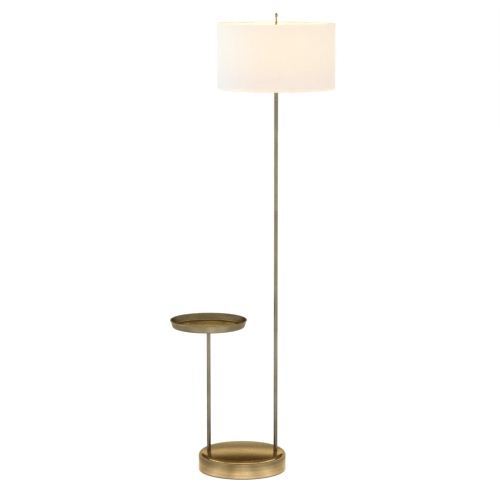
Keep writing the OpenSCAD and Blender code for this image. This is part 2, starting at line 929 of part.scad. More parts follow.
base_pad();
base_cover();
cover_screws();
base_weight();
base_shell();
inlet_bushing();
anchor_washers();
anchor_nuts();
lamp_nipple();
table_stud();
lamp_pole_lower();
lamp_pole_middle();
lamp_pole_upper();
pole_joiners();
table_pole();
tray_flange();
tray();
tray_nuts();
pole_cap();
top_nipple();
harp_saddle();
harp();
harp_seat();
ferrule_left();
ferrule_right();
holder_cap();
holder_shell();
holder_insulator();
holder_core();
screw_shell();
centre_contact();
switch_shaft();
switch_key();
bulb_cap();
bulb_globe();
shade_cloth();
shade_liner();
shade_tapes();
shade_washer();
shade_spider();
shade_bottom_ring();
finial();
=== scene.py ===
import math

import bmesh
import bpy
from mathutils import Matrix, Vector


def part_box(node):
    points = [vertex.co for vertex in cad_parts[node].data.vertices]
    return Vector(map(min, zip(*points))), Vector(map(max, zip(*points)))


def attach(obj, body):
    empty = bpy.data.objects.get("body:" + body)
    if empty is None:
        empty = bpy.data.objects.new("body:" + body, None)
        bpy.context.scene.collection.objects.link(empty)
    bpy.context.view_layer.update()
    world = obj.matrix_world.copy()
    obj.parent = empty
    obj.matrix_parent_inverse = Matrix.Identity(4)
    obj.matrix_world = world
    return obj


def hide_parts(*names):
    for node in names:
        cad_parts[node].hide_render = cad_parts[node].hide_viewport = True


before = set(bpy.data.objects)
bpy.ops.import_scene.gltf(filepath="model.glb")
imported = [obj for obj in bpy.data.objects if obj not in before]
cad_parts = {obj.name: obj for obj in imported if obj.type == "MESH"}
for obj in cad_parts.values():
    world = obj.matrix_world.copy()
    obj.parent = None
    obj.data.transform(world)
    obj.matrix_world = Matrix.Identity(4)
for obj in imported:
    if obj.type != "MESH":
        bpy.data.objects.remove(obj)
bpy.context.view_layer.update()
print("frame loaded:", len(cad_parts), "nodes")


# places, read from the frame


def middle(node):
    low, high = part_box(node)
    return (Vector(low) + Vector(high)) / 2


def lowOf(node):
    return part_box(node)[0][2]


def topOf(node):
    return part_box(node)[1][2]


def heights(node):
    return lowOf(node), topOf(node)


def radiusOf(node):
    low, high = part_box(node)
    return max(high[0] - low[0], high[1] - low[1]) / 2


lampX = middle("lamp_pole_lower").x
tableX = middle("table_pole").x
lampAxis = (lampX, 0, 0)
tableAxis = (tableX, 0, 0)
feet = (lampAxis, tableAxis)
toRear = Matrix.Rotation(math.radians(-90), 4, "X")  # these three lay an upright part down
toFront = Matrix.Rotation(math.radians(90), 4, "X")
toSide = Matrix.Rotation(math.radians(90), 4, "Y")
overshoot = 0.01  # how far a cutter reaches past what it cuts
crispEdge, smallEdge, softEdge = 0.0002, 0.0003, 0.0005  # roundings that many parts share


# mesh tools


def arc(centreR, centreZ, radius, start, end, count):
    # points of a round stretch of a profile, angles in degrees from the +r direction
    points = []
    for i in range(count + 1):
        a = math.radians(start + (end - start) * i / count)
        points.append((centreR + radius * math.cos(a), centreZ + radius * math.sin(a)))
    return points


def outline(radius, height, points):
    # profile points given by their way out from a radius and their way up from a height
    return [(radius + point[0], height + point[1], *point[2:]) for point in points]


def turnsOf(start, end, pitch):
    # heights of the turns of a thread
    found = []
    while start < end:
        found.append(start)
        start += pitch
    return found


def soft(points, closed=False, count=4):
    # rounds each corner that carries a third value by that radius
    smooth = []
    for i, point in enumerate(points):
        inside = closed or 0 < i < len(points) - 1
        if len(point) < 3 or not inside:
            smooth.append(point[:2])
            continue
        here = Vector(point[:2])
        before = Vector(points[i - 1][:2]) - here
        after = Vector(points[(i + 1) % len(points)][:2]) - here
        reach = point[2] / math.tan(before.angle(after) / 2)
        reach = min(reach, before.length * 0.48, after.length * 0.48)  # under half of a side
        start, end = here + before.normalized() * reach, here + after.normalized() * reach
        for k in range(count + 1):
            t = k / count
            smooth.append(tuple(start * (1 - t) ** 2 + here * 2 * t * (1 - t) + end * t ** 2))
    return smooth


def sweep(bm, geom, angle, steps, **settings):
    upright = dict(cent=(0, 0, 0), axis=(0, 0, 1), dvec=(0, 0, 0))
    bmesh.ops.spin(bm, geom=geom, angle=angle, steps=steps, **upright, **settings)


def shifted(bm, way):
    bmesh.ops.translate(bm, vec=way, verts=bm.verts)
    return bm


def spun(profile, axis=(0, 0, 0), steps=96, closed=True, tilt=None):
    # turns a profile of (r, z) points about the z axis; tilt turns the result before it is moved
    bm = bmesh.new()
    verts = [bm.verts.new((r, 0, z)) for r, z in profile]
    edges = [bm.edges.new(pair) for pair in zip(verts, verts[1:])]
    if closed:
        edges.append(bm.edges.new((verts[-1], verts[0])))
    sweep(bm, verts + edges, 2 * math.pi, steps, use_merge=True, use_duplicate=False)
    bmesh.ops.remove_doubles(bm, verts=bm.verts, dist=1e-6)
    bmesh.ops.recalc_face_normals(bm, faces=bm.faces)
    if tilt:
        bmesh.ops.transform(bm, matrix=tilt, verts=bm.verts)
    return shifted(bm, axis)


def rod(radius, low, top, axis=(0, 0, 0), edge=smallEdge, steps=24, tilt=None):
    profile = [(0, low), (radius, low, edge), (radius, top, edge), (0, top)]
    return spun(soft(profile, count=3), axis, steps, closed=False, tilt=tilt)


def bevelled(bm, edges, offset, segments):
    bmesh.ops.bevel(
        bm,
        geom=edges,
        offset=offset,
        segments=segments,
        profile=0.5,
        affect="EDGES",
        material=-1,
    )


def block(size, place, edge=0.0):
    bm = bmesh.new()
    bmesh.ops.create_cube(bm, size=1)
    bmesh.ops.scale(bm, vec=size, verts=bm.verts)
    if edge:
        bevelled(bm, bm.edges, edge, 1)
    return shifted(bm, place)


def inScene(name, data):
    thing = bpy.data.objects.new(name, data)
    bpy.context.scene.collection.objects.link(thing)
    return thing


def wire(points, radius, sides):
    # a round wire along a path
    curve = bpy.data.curves.new("path", "CURVE")
    curve.dimensions = "3D"
    curve.bevel_depth = radius
    curve.bevel_resolution = sides
    curve.use_fill_caps = True
    line = curve.splines.new("POLY")
    line.points.add(len(points) - 1)
    for point, place in zip(line.points, points):
        point.co = (*place, 1)
    helper = inScene("path", curve)
    mesh = bpy.data.meshes.new_from_object(helper)
    bm = bmesh.new()
    bm.from_mesh(mesh)
    bmesh.ops.remove_doubles(bm, verts=bm.verts, dist=1e-7)
    bmesh.ops.recalc_face_normals(bm, faces=bm.faces)
    bpy.data.objects.remove(helper)
    bpy.data.curves.remove(curve)
    bpy.data.meshes.remove(mesh)
    return bm


def joined(target, *others):
    # moves the other meshes' geometry into the first one
    for other in others:
        scratch = bpy.data.meshes.new("scratch")
        other.to_mesh(scratch)
        other.free()
        target.from_mesh(scratch)
        bpy.data.meshes.remove(scratch)
    return target


def carved(bm, *cutters, operation="DIFFERENCE"):
    # cuts closed meshes out of another, one after the other
    for cutter in cutters:
        meshes = []
        for source in (bm, cutter):
            mesh = bpy.data.meshes.new("carved")
            source.to_mesh(mesh)
            source.free()
            meshes.append(mesh)
        blank, tool = (inScene("carved", mesh) for mesh in meshes)
        cut = blank.modifiers.new("cut", "BOOLEAN")
        cut.object = tool
        cut.operation = operation
        cut.solver = "EXACT"
        graph = bpy.context.evaluated_depsgraph_get()
        result = bpy.data.meshes.new_from_object(blank.evaluated_get(graph))
        bm = bmesh.new()
        bm.from_mesh(result)
        for helper in (blank, tool):
            bpy.data.objects.remove(helper)
        for mesh in meshes + [result]:
            bpy.data.meshes.remove(mesh)
    return bm


def asMesh(bm, name, material):
    mesh = bpy.data.meshes.new(name)
    bm.to_mesh(mesh)
    bm.free()
    mesh.materials.append(material)
    return mesh


def asPiece(bm, name, body, material, replaced, sharp=30):
    # an edge that turns by more than sharp, in degrees, stays hard
    bmesh.ops.recalc_face_normals(bm, faces=bm.faces)
    mesh = asMesh(bm, name, material)
    mesh.shade_smooth()
    mesh.set_sharp_from_angle(angle=math.radians(sharp))
    piece = inScene(name, mesh)
    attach(piece, body)
    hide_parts(*replaced)
    return piece


# materials


class Recipe:
    # a short way to lay out the nodes of a material or of the world

    def __init__(self, name, library=bpy.data.materials, shader="Principled BSDF"):
        self.owner = library.new(name)
        self.owner.use_nodes = True
        self.tree = self.owner.node_tree
        self.shader = self.tree.nodes[shader]

    def add(self, kind, inputs=None, **settings):
        node = self.tree.nodes.new("ShaderNode" + kind)
        for key, value in settings.items():
            setattr(node, key, value)
        for key, value in (inputs or {}).items():
            self.feed(node.inputs[key], value)
        return node

    def feed(self, socket, value):
        if isinstance(value, bpy.types.NodeSocket):
            self.tree.links.new(value, socket)
        else:
            socket.default_value = value

    def finish(self, **inputs):
        for key, value in inputs.items():
            self.feed(self.shader.inputs[key.replace("_", " ")], value)
        return self.owner

    def pickShader(self, factor, first, second, output):
        mix = self.add("MixShader", {"Fac": factor})
        self.tree.links.new(first.outputs[0], mix.inputs[1])
        self.tree.links.new(second.outputs[0], mix.inputs[2])
        self.tree.links.new(mix.outputs[0], self.tree.nodes[output].inputs["Surface"])

    def sum(self, operation, a, b=0.0, c=0.0):
        node = self.add("Math", operation=operation)
        for socket, value in zip(node.inputs, (a, b, c)):
            self.feed(socket, value)
        return node.outputs[0]

    def length(self, x, y):
        squares = [self.sum("POWER", side, 2.0) for side in (x, y)]
        return self.sum("SQRT", self.sum("ADD", *squares))

    def multiply(self, a, b, share=1.0):
        inputs = {"Factor": share, "A": a, "B": b}
        mix = self.add("Mix", inputs, data_type="RGBA", blend_type="MULTIPLY")
        return mix.outputs["Result"]

    def noise(self, vector, scale, detail=3.0, roughness=0.5, distortion=0.0):
        names = ("Vector", "Scale", "Detail", "Roughness", "Distortion")
        values = (vector, scale, detail, roughness, distortion)
        return self.add("TexNoise", dict(zip(names, values))).outputs["Fac"]

    def ramp(self, value, *stops):
        node = self.add("ValToRGB", {"Fac": value})
        ramp = node.color_ramp
        while len(ramp.elements) < len(stops):
            ramp.elements.new(0.5)
        for element, (place, colour) in zip(ramp.elements, stops):
            element.position = place
            element.color = (*colour, 1)
        return node.outputs["Color"]

    def greys(self, value, stops):
        return self.ramp(value, *((place, (tone,) * 3) for place, tone in stops))

    def span(self, value, low, high, newLow, newHigh):
        names = ("Value", "From Min", "From Max", "To Min", "To Max")
        values = (value, low, high, newLow, newHigh)
        return self.add("MapRange", dict(zip(names, values))).outputs["Result"]

    def bump(self, height, strength, distance):
        inputs = {"Height": height, "Strength": strength, "Distance": distance}
        return self.add("Bump", inputs).outputs["Normal"]

    def place(self, centre=(0, 0, 0), scale=(1, 1, 1)):
        # the piece's own coordinates in metres, centred on a point of the frame
        inputs = {
            "Vector": self.add("TexCoord").outputs["Object"],
            "Location": tuple(-c * s for c, s in zip(centre, scale)),
            "Scale": scale,
        }
        return self.add("Mapping", inputs).outputs["Vector"]

    def split(self, vector):
        return self.add("SeparateXYZ", {"Vector": vector}).outputs

    def vector(self, x, y, z):
        return self.add("CombineXYZ", {"X": x, "Y": y, "Z": z}).outputs["Vector"]


brassLook = dict(
    lineScale=2600.0,  # brushing, and how deep it is in metres
    lineDepth=0.000014,
    lineBump=0.35,
    lineRough=0.03,
    roundReach=0.004,  # the grain is drawn out by reading the noise within so small a reach
    longReach=0.004,
    broadShare=0.38,
    cloudScale=9.0,
    cloudShare=0.62,
    clouds=(0.34, 0.62),  # levels of full patina and of bare brass
    pitScale=420.0,
    pits=((0.30, 0.55), (0.40, 1.0)),
    pitShare=0.5,
)
brassTones = {
    "base": dict(
        patina=(0.31, 0.205, 0.085), bright=(0.48, 0.345, 0.17),
        edge=(0.95, 0.85, 0.63), rough=(0.09, 0.15),
    ),
    "tray": dict(
        patina=(0.27, 0.212, 0.115), bright=(0.42, 0.34, 0.20),
        edge=(0.95, 0.85, 0.63), rough=(0.22, 0.29),
    ),
    "tube": dict(
        patina=(0.205, 0.176, 0.115), bright=(0.325, 0.285, 0.20),
        edge=(1, 0.95, 0.85), rough=(0.20, 0.30),
    ),
    "fitting": dict(
        patina=(0.42, 0.29, 0.11), bright=(0.66, 0.48, 0.22),
        edge=(1, 0.9, 0.7), rough=(0.18, 0.30),
    ),
    "finial": dict(
        patina=(0.34, 0.25, 0.11), bright=(0.52, 0.40, 0.20),
        edge=(1, 0.9, 0.7), rough=(0.20, 0.30),
    ),
}


def agedBrass(name, centre, tone, lines="round", paintedLight=None):
    # plated steel with an aged brass finish, brushed round the axis or along it;
    # paintedLight, where given, is painted light and shade by radius and height, and the colour is
    # multiplied by it
    look = brassLook
    r = Recipe(name)
    spot = r.place(centre)
    if lines == "round":
        x, y, z = r.split(spot)
        radius = r.length(x, y)
        reach = r.sum("DIVIDE", look["roundReach"], r.sum("MAXIMUM", radius, 0.0001))
        across, along = r.sum("MULTIPLY", x, reach), r.sum("MULTIPLY", y, reach)
        brush = r.vector(across, along, r.sum("SUBTRACT", radius, z))
    else:
        brush = r.place(centre, (1, 1, look["longReach"]))
    fine = r.noise(brush, look["lineScale"], 4.0, 0.7)
    broad = r.noise(brush, look["lineScale"] / 12, 2.0)
    clouds = r.noise(spot, look["cloudScale"], 4.0, 0.55, 0.4)
    specks = r.noise(spot, look["pitScale"], 2.0, 0.6)
    shade = r.sum(
        "ADD",
        r.sum("MULTIPLY", clouds, look["cloudShare"]),
        r.sum("MULTIPLY", broad, look["broadShare"]),
    )
    dark, clear = look["clouds"]
    colour = r.ramp(shade, (dark, tone["patina"]), (clear, tone["bright"]))
    # painted light and shade, where given, multiply the colour
    if paintedLight:
        colour = r.multiply(colour, paintedLight(r, radius, z))
    colour = r.multiply(colour, r.greys(specks, look["pits"]), look["pitShare"])
    smooth, dull = tone["rough"]
    lineRough = look["lineRough"]
    rough = r.span(shade, 0.3, 0.7, dull, smooth)
    rough = r.sum("ADD", rough, r.span(fine, 0.3, 0.7, -lineRough, lineRough))
    return r.finish(
        Base_Color=colour,
        Metallic=1.0,
        Roughness=rough,
        Normal=r.bump(fine, look["lineBump"], look["lineDepth"]),
        Specular_Tint=(*tone["edge"], 1),
    )


def plainMetal(name, colour, rough):
    # worn patches are darker and duller
    r = Recipe(name)
    spot = r.place()
    worn = r.noise(spot, 60.0, 4.0, 0.6)
    fine = r.noise(spot, 900.0, 2.0)
    dark = tuple(c * 0.72 for c in colour)
    return r.finish(
        Base_Color=r.ramp(worn, (0.35, dark), (0.65, colour)),
        Metallic=1.0,
        Roughness=r.span(worn, 0.3, 0.7, rough + 0.12, rough),
        Normal=r.bump(fine, 0.4, 0.00001),
    )


def castIron(name, dark, light):
    r = Recipe(name)
    lumps = r.noise(r.place(), 320.0, 6.0, 0.7)
    return r.finish(
        Base_Color=r.ramp(lumps, (0.3, dark), (0.7, light)),
        Metallic=0.55,
        Roughness=0.72,
        Normal=r.bump(lumps, 0.8, 0.0005),
    )


def moulded(name, colour, rough):
    r = Recipe(name)
    spot = r.place()
    spark = r.noise(spot, 1500.0, 2.0)
    tint = r.noise(spot, 40.0, 3.0)
    lighter = tuple(min(1, c * 1.35 + 0.004) for c in colour)
    return r.finish(
        Base_Color=r.ramp(tint, (0.35, colour), (0.7, lighter)),
        Roughness=r.span(spark, 0.3, 0.7, rough - 0.05, rough + 0.08),
        Normal=r.bump(spark, 0.25, 0.00003),
    )


def needleFelt(name, dark, light):
    r = Recipe(name)
    fibres = r.noise(r.place(scale=(1, 1, 3)), 1800.0, 5.0, 0.8, 1.5)
    tufts = r.noise(r.place(), 160.0, 3.0)
    return r.finish(
        Base_Color=r.ramp(fibres, (0.3, dark), (0.75, light)),
        Roughness=0.95,
        Sheen_Weight=0.1,
        Sheen_Roughness=0.5,
        Normal=r.bump(r.sum("ADD", fibres, tufts), 0.9, 0.0004),
    )


def enamel(name, colour):
    r = Recipe(name)
    ripple = r.noise(r.place(), 220.0, 3.0)
    darker = tuple(c * 0.86 for c in colour)
    return r.finish(
        Base_Color=r.ramp(ripple, (0.35, darker), (0.6, colour)),
        Roughness=r.span(ripple, 0.3, 0.7, 0.28, 0.4),
        Normal=r.bump(ripple, 0.15, 0.0001),
    )


def board(name, dark, light):
    r = Recipe(name)
    fibres = r.noise(r.place(scale=(1, 1, 0.2)), 700.0, 4.0, 0.7)
    return r.finish(
        Base_Color=r.ramp(fibres, (0.3, dark), (0.7, light)),
        Roughness=0.85,
        Normal=r.bump(fibres, 0.5, 0.0001),
    )


baseBrass = agedBrass("agedBrassBase", (0, 0, 0), brassTones["base"])
lampTubeBrass = agedBrass("agedBrassLampTube", lampAxis, brassTones["tube"], "long")
tableTubeBrass = agedBrass("agedBrassTableTube", tableAxis, brassTones["tube"], "long")
fittingBrass = agedBrass("turnedBrass", lampAxis, brassTones["fitting"])
finialBrass = agedBrass("finialBrass", lampAxis, brassTones["finial"])
zincSteel = plainMetal("zincSteel", (0.60, 0.60, 0.57), 0.30)
brightMetal = plainMetal("brightAluminium", (0.80, 0.80, 0.80), 0.22)
contactMetal = plainMetal("contactBrass", (0.72, 0.50, 0.22), 0.25)
ironCasting = castIron("ironCasting", (0.035, 0.034, 0.033), (0.085, 0.08, 0.076))
blackPlastic = moulded("blackPlastic", (0.018, 0.017, 0.016), 0.38)
felt = needleFelt("needleFelt", (0.010, 0.010, 0.009), (0.050, 0.048, 0.044))
whiteWire = enamel("whiteEnamel", (0.80, 0.77, 0.70))
fibreBoard = board("fibreBoard", (0.46, 0.37, 0.22), (0.66, 0.56, 0.38))
print("materials ready")


# base

baseSizes = dict(
    crown=0.005,  # rise of the domed top
    shoulder=0.014,
    shoulderEnd=84,  # degrees, where the shoulder meets the dome
    wall=0.0016,
    fold=0.0011,  # turned-in lower edge
    seatR=0.009,  # level seat under each pole
    boreR=0.0053,
    inletR=0.00495,
    inletZ=0.014,
    crownSteps=14,
    shoulderSteps=12,
    foldSteps=4,
    inletSteps=40,
    seatSteps=64,
    boreSteps=48,
    steps=160,
)


def makeBaseShell():
    # the domed top is part of a large sphere that passes through the feet of the poles
    s = baseSizes
    seat, bottom = lowOf("lamp_pole_lower"), lowOf("base_shell")
    outerR = radiusOf("base_shell")
    flatR = outerR - s["shoulder"]
    sphereR = (flatR ** 2 + s["crown"] ** 2) / (2 * s["crown"])
    sphereZ = seat - math.sqrt(sphereR ** 2 - lampX ** 2)
    slope = math.degrees(math.asin(flatR / sphereR))
    shoulderZ = sphereZ + math.sqrt(sphereR ** 2 - flatR ** 2) - s["shoulder"]
    wall, fold = s["wall"], s["fold"]
    end, steps = s["shoulderEnd"], s["shoulderSteps"]
    outer = arc(0, sphereZ, sphereR, 90, 90 - slope, s["crownSteps"])
    outer += arc(flatR, shoulderZ, s["shoulder"], end, 0, steps)
    outer += arc(outerR - fold, bottom + fold, fold, 0, -90, s["foldSteps"])
    inner = outline(outerR - wall, bottom, [(-fold, 0), (-fold, 2 * fold), (0, 3 * fold)])
    inner += arc(flatR, shoulderZ, s["shoulder"] - wall, 0, end, steps)
    inner += arc(0, sphereZ, sphereR - wall, 90 - slope, 90, s["crownSteps"])
    bm = spun(outer + inner, steps=s["steps"], closed=False)
    reach, inletPlace = 2 * overshoot, (0, 0, s["inletZ"])
    inlet = (s["inletR"], outerR - reach, outerR + reach, inletPlace, 0, s["inletSteps"], toRear)
    cutters = [rod(*inlet)]
    for radius, low, steps in (
        (s["seatR"], seat, s["seatSteps"]),
        (s["boreR"], seat - overshoot, s["boreSteps"]),
    ):
        cutters += [rod(radius, low, seat + overshoot, foot, 0, steps) for foot in feet]
    bm = carved(bm, *cutters)
    ring = [
        (s["boreR"], seat - wall),
        (s["seatR"], seat - wall),
        (s["seatR"], seat, smallEdge),
        (s["boreR"], seat),
    ]
    bm = joined(bm, *(spun(soft(ring, True, 3), foot, s["seatSteps"]) for foot in feet))
    return asPiece(bm, "baseShell", "stand", baseBrass, ["base_shell"])


padSizes = dict(topEdge=softEdge, lowEdge=0.0007, steps=128)


def makeBasePad():
    s = padSizes
    outerR = radiusOf("base_pad")
    low, top = heights("base_pad")
    profile = [(0, top), (outerR, top, s["topEdge"]), (outerR, low, s["lowEdge"]), (0, low)]
    bm = spun(soft(profile), steps=s["steps"], closed=False)
    return asPiece(bm, "basePad", "stand", felt, ["base_pad"], sharp=38)


bushingSizes = dict(
    bore=0.0035,
    barrel=0.0049,
    flange=0.0025,
    # way out from the barrel, way back from the flange: the ring that snaps in behind the wall
    catch=[(0, -0.0039), (0.0008, -0.0019), (0, -0.0019), (0, 0)],
    endRound=softEdge,
    flangeRound=0.0014,
    mouthRound=0.0008,
    steps=48,
)


def makeInletBushing():
    # a moulded bushing with a rounded flange; the bore takes the lead
    s = bushingSizes
    low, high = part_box("inlet_bushing")
    barrelEnd, flangeFace, rim = low[1], high[1], (high[0] - low[0]) / 2
    wallFace = flangeFace - s["flange"]
    profile = [
        (s["bore"], barrelEnd, s["endRound"]),
        (s["barrel"], barrelEnd, s["endRound"]),
        *outline(s["barrel"], wallFace, s["catch"]),
        (rim, wallFace),
        (rim, flangeFace, s["flangeRound"]),
        (s["bore"], flangeFace, s["mouthRound"]),
    ]
    bm = spun(soft(profile, True), (0, 0, baseSizes["inletZ"]), s["steps"], tilt=toRear)
    return asPiece(
        bm, "inletBushing", "stand", blackPlastic, ["inlet_bushing"], sharp=38
    )


makeBaseShell()
makeBasePad()
makeInletBushing()
print("base ready")


# poles

tubeSizes = dict(chamfer=0.0004, bore=0.00505, steps=56)


def makeTube(name, node, axis, material):
    low, top = heights(node)
    outer, edge, bore = radiusOf(node), tubeSizes["chamfer"], tubeSizes["bore"]
    profile = [(bore, low), (outer, low, edge), (outer, top, edge), (bore, top)]
    bm = spun(soft(profile, True, 3), axis, tubeSizes["steps"])
    return asPiece(bm, name, "stand", material, [node], sharp=25)


capSizes = dict(
    # way out, way up, rounding: from the pole's edge and from the cap's own foot and top
    foot=[(0, 0), (0.0004, 0.0012, 0.0006)],
    lip=[(0, 0.0016, 0.0006)],
    groove=[
        (0, -0.0030, 0.0006),
        (-0.0010, -0.0024, 0.0004),
        (-0.0010, -0.0016, 0.0004),
        (-0.0014, 0, 0.0008),
    ],
    steps=64,
)


def makePoleCap():
    s = capSizes
    low, top = heights("pole_cap")
    outer, bore = radiusOf("pole_cap"), tubeSizes["bore"]
    profile = [
        (bore, low),
        *outline(radiusOf("lamp_pole_upper"), low, s["foot"]),
        *outline(outer, low, s["lip"]),
        *outline(outer, top, s["groove"]),
        (bore, top),
    ]
    bm = spun(soft(profile, True), lampAxis, s["steps"])
    return asPiece(bm, "poleCap", "stand", lampTubeBrass, ["pole_cap"])


makeTube("lampPoleLower", "lamp_pole_lower", lampAxis, lampTubeBrass)
makeTube("lampPoleMiddle", "lamp_pole_middle", lampAxis, lampTubeBrass)
makeTube("lampPoleUpper", "lamp_pole_upper", lampAxis, lampTubeBrass)
makeTube("tablePole", "table_pole", tableAxis, tableTubeBrass)
makePoleCap()
print("poles ready")


# tray

traySizes = dict(
    bottomR=0.127,
    wall=0.0015,
    corner=0.007,
    rim=0.002,
    studR=0.022,  # circle on which the three studs stand
    studD=0.004,
    studTurns=(30, 150, 270),
    studRoot=0.0005,  # how far a stud reaches into the floor of the tray
    studEnd=0.0004,
    slip=0.00005,  # between a stud and its hole or nut
    cornerSteps=10,
    rimTurn=(-130, 180),  # degrees that the rolled rim goes through
    rimSteps=20,
    studSteps=20,
    steps=160,
    # painted shade and painted light by the share of paintedLightReach that a point lies inside
    # the outer face:
    # painted shade on the inner wall and in the corner, painted light on the floor, brightest
    # towards the middle
    paintedLightReach=0.05,
    paintedLight=(
        (0.0, 1.0),
        (0.012, 1.0),
        (0.024, 0.66),
        (0.06, 0.72),
        (0.14, 1.05),
        (0.40, 1.6),
        (1.0, 1.7),
    ),
)


def trayLean():
    s = traySizes
    wallTopR = radiusOf("tray") - 2 * s["rim"] + s["wall"]
    return math.atan2(wallTopR - s["bottomR"], topOf("tray") - topOf("tray_flange") - s["rim"])


def trayPaintedLight(r, radius, z):
    # how far a point lies inside the tray's sloping outer face, turned into painted shade and
    # painted light
    s = traySizes
    slope = math.tan(trayLean())
    face = r.sum("MULTIPLY_ADD", z, slope, s["bottomR"] - topOf("tray_flange") * slope)
    depth = r.span(r.sum("SUBTRACT", face, radius), 0.0, s["paintedLightReach"], 0.0, 1.0)
    return r.greys(depth, s["paintedLight"])


# the tray's colour carries painted shade on its inner wall and corner and painted light on its
# floor
trayBrass = agedBrass("agedBrassTray", tableAxis, brassTones["tray"], paintedLight=trayPaintedLight)


def studPlaces():
    found = []
    for turn in traySizes["studTurns"]:
        reach = Matrix.Rotation(math.radians(turn), 3, "Z") @ Vector((traySizes["studR"], 0, 0))
        found.append(tuple(Vector(tableAxis) + reach))
    return found


def makeTray():
    s = traySizes
    top, low = topOf("tray"), topOf("tray_flange")
    corner, lean = s["corner"], trayLean()
    cornerR = s["bottomR"] + corner * math.tan(lean) - corner / math.cos(lean)
    leanDeg = math.degrees(lean)
    outer = [(0, low), (cornerR * 0.5, low)]
    outer += arc(cornerR, low + corner, corner, -90, -leanDeg, s["cornerSteps"])
    bead = arc(radiusOf("tray") - s["rim"], top - s["rim"], s["rim"], *s["rimTurn"], s["rimSteps"])
    inner = arc(cornerR, low + corner, corner - s["wall"], -leanDeg, -90, s["cornerSteps"])
    profile = outer + bead + inner + [(0, low + s["wall"])]
    bm = spun(profile, tableAxis, s["steps"], closed=False)
    stud = (s["studD"] / 2, lowOf("tray"), low + s["studRoot"])
    bm = joined(bm, *(rod(*stud, place, s["studEnd"], s["studSteps"]) for place in studPlaces()))
    return asPiece(bm, "tray", "stand", trayBrass, ["tray"], sharp=32)


flangeSizes = dict(
    plate=0.003,
    hubR=0.0095,
    spigotR=0.005,
    # way out, way up, rounding: from the rim's face, the plate's underside and the hub's foot
    rim=[(0, 0, 0.0006)],
    rimFoot=[(0, 0.0012, 0.0008)],
    fillet=[(0.0050, 0, 0.0030), (0, -0.0040, 0.0030)],
    groove=[
        (0, 0.0036, 0.0006),
        (-0.0008, 0.0030, 0.0003),
        (-0.0008, 0.0022, 0.0003),
        (0, 0.0016, 0.0006),
        (0, 0, 0.0006),
    ],
    holePast=0.002,
    holeSteps=24,
    steps=96,
)


def makeTrayFlange():
    s = flangeSizes
    low, top = heights("tray_flange")
    hubLow, plate = topOf("table_pole"), top - s["plate"]
    outer = radiusOf("tray_flange")
    profile = [
        (0, top),
        *outline(outer, top, s["rim"]),
        *outline(outer, plate, s["rimFoot"]),
        *outline(s["hubR"], plate, s["fillet"]),
        *outline(s["hubR"], hubLow, s["groove"]),
        (s["spigotR"], hubLow),
        (s["spigotR"], low, softEdge),
        (0, low),
    ]
    bm = spun(soft(profile), tableAxis, s["steps"], closed=False)
    hole = (traySizes["studD"] / 2 + traySizes["slip"], plate - s["holePast"], top + s["holePast"])
    bm = carved(bm, *(rod(*hole, place, 0, s["holeSteps"]) for place in studPlaces()))
    return asPiece(bm, "trayFlange", "stand", trayBrass, ["tray_flange"])


nutSizes = dict(flats=0.007, chamfer=0.6, inset=crispEdge, past=0.001, steps=48, boreSteps=32)


def hexNut(low, top, boreR, place):
    # hexagonal nut with a bore; chamfer is a share of what its corners stand out by
    s = nutSizes
    bm = bmesh.new()
    flatR, high = s["flats"] / 2, top - low
    corner = flatR / math.cos(math.pi / 6)
    bmesh.ops.create_cone(
        bm, cap_ends=True, segments=6, radius1=corner, radius2=corner, depth=high
    )
    shifted(bm, (0, 0, (low + top) / 2))
    face, below = flatR - s["inset"], low - s["past"]
    shoulder = (corner + s["inset"], low + (corner - flatR) * s["chamfer"])
    dome = [(0, below), (face, below), (face, low), shoulder]
    dome += [(r, low + top - z) for r, z in reversed(dome)]
    bm = carved(bm, spun(dome, steps=s["steps"], closed=False), operation="INTERSECT")
    bm = carved(bm, rod(boreR, low - high / 2, top + high / 2, edge=0, steps=s["boreSteps"]))
    return shifted(bm, place)


def makeTrayNuts():
    low, top = heights("tray_nuts")
    boreR = traySizes["studD"] / 2 + traySizes["slip"]
    bm = joined(*(hexNut(low, top, boreR, place) for place in studPlaces()))
    return asPiece(
        bm, "trayNuts", "stand", fittingBrass, ["tray_nuts"], sharp=25
    )


makeTray()
makeTrayFlange()
makeTrayNuts()
print("tray ready")


# harp

harpSizes = dict(
    halfWidth=0.057,
    wireR=0.0018,
    topR=0.045,  # bends of the wire
    footR=0.034,
    footX=0.027,
    legL=0.014,
    footH=0.012,
    sleeveR=0.0029,
    sleeveRound=0.0006,
    wireRound=0.0004,
    pegR=0.0016,
    pegL=0.007,
    slip=0.00005,
    inSleeve=0.001,  # how far the wire reaches into its sleeve, and the hollow past the peg
    bendSteps=12,
    topSteps=20,
    wireSides=6,
    sleeveSteps=32,
)
saddleSizes = dict(
    strip=0.002,
    bend=0.005,
    bendSteps=8,
    edge=0.0004,
    edgeTurn=50,  # degrees; only the strip's square edges are rounded
    ledgeR=0.0045,
    ledgeT=0.0016,
    ledgeSteps=32,
    pegRoot=0.0005,
    pegSteps=20,
    boreR=0.0053,
    boreSteps=48,
)
harpFootZ = lowOf("ferrule_left")
harpFeet = [(lampX + side * harpSizes["footX"], 0, 0) for side in (-1, 1)]


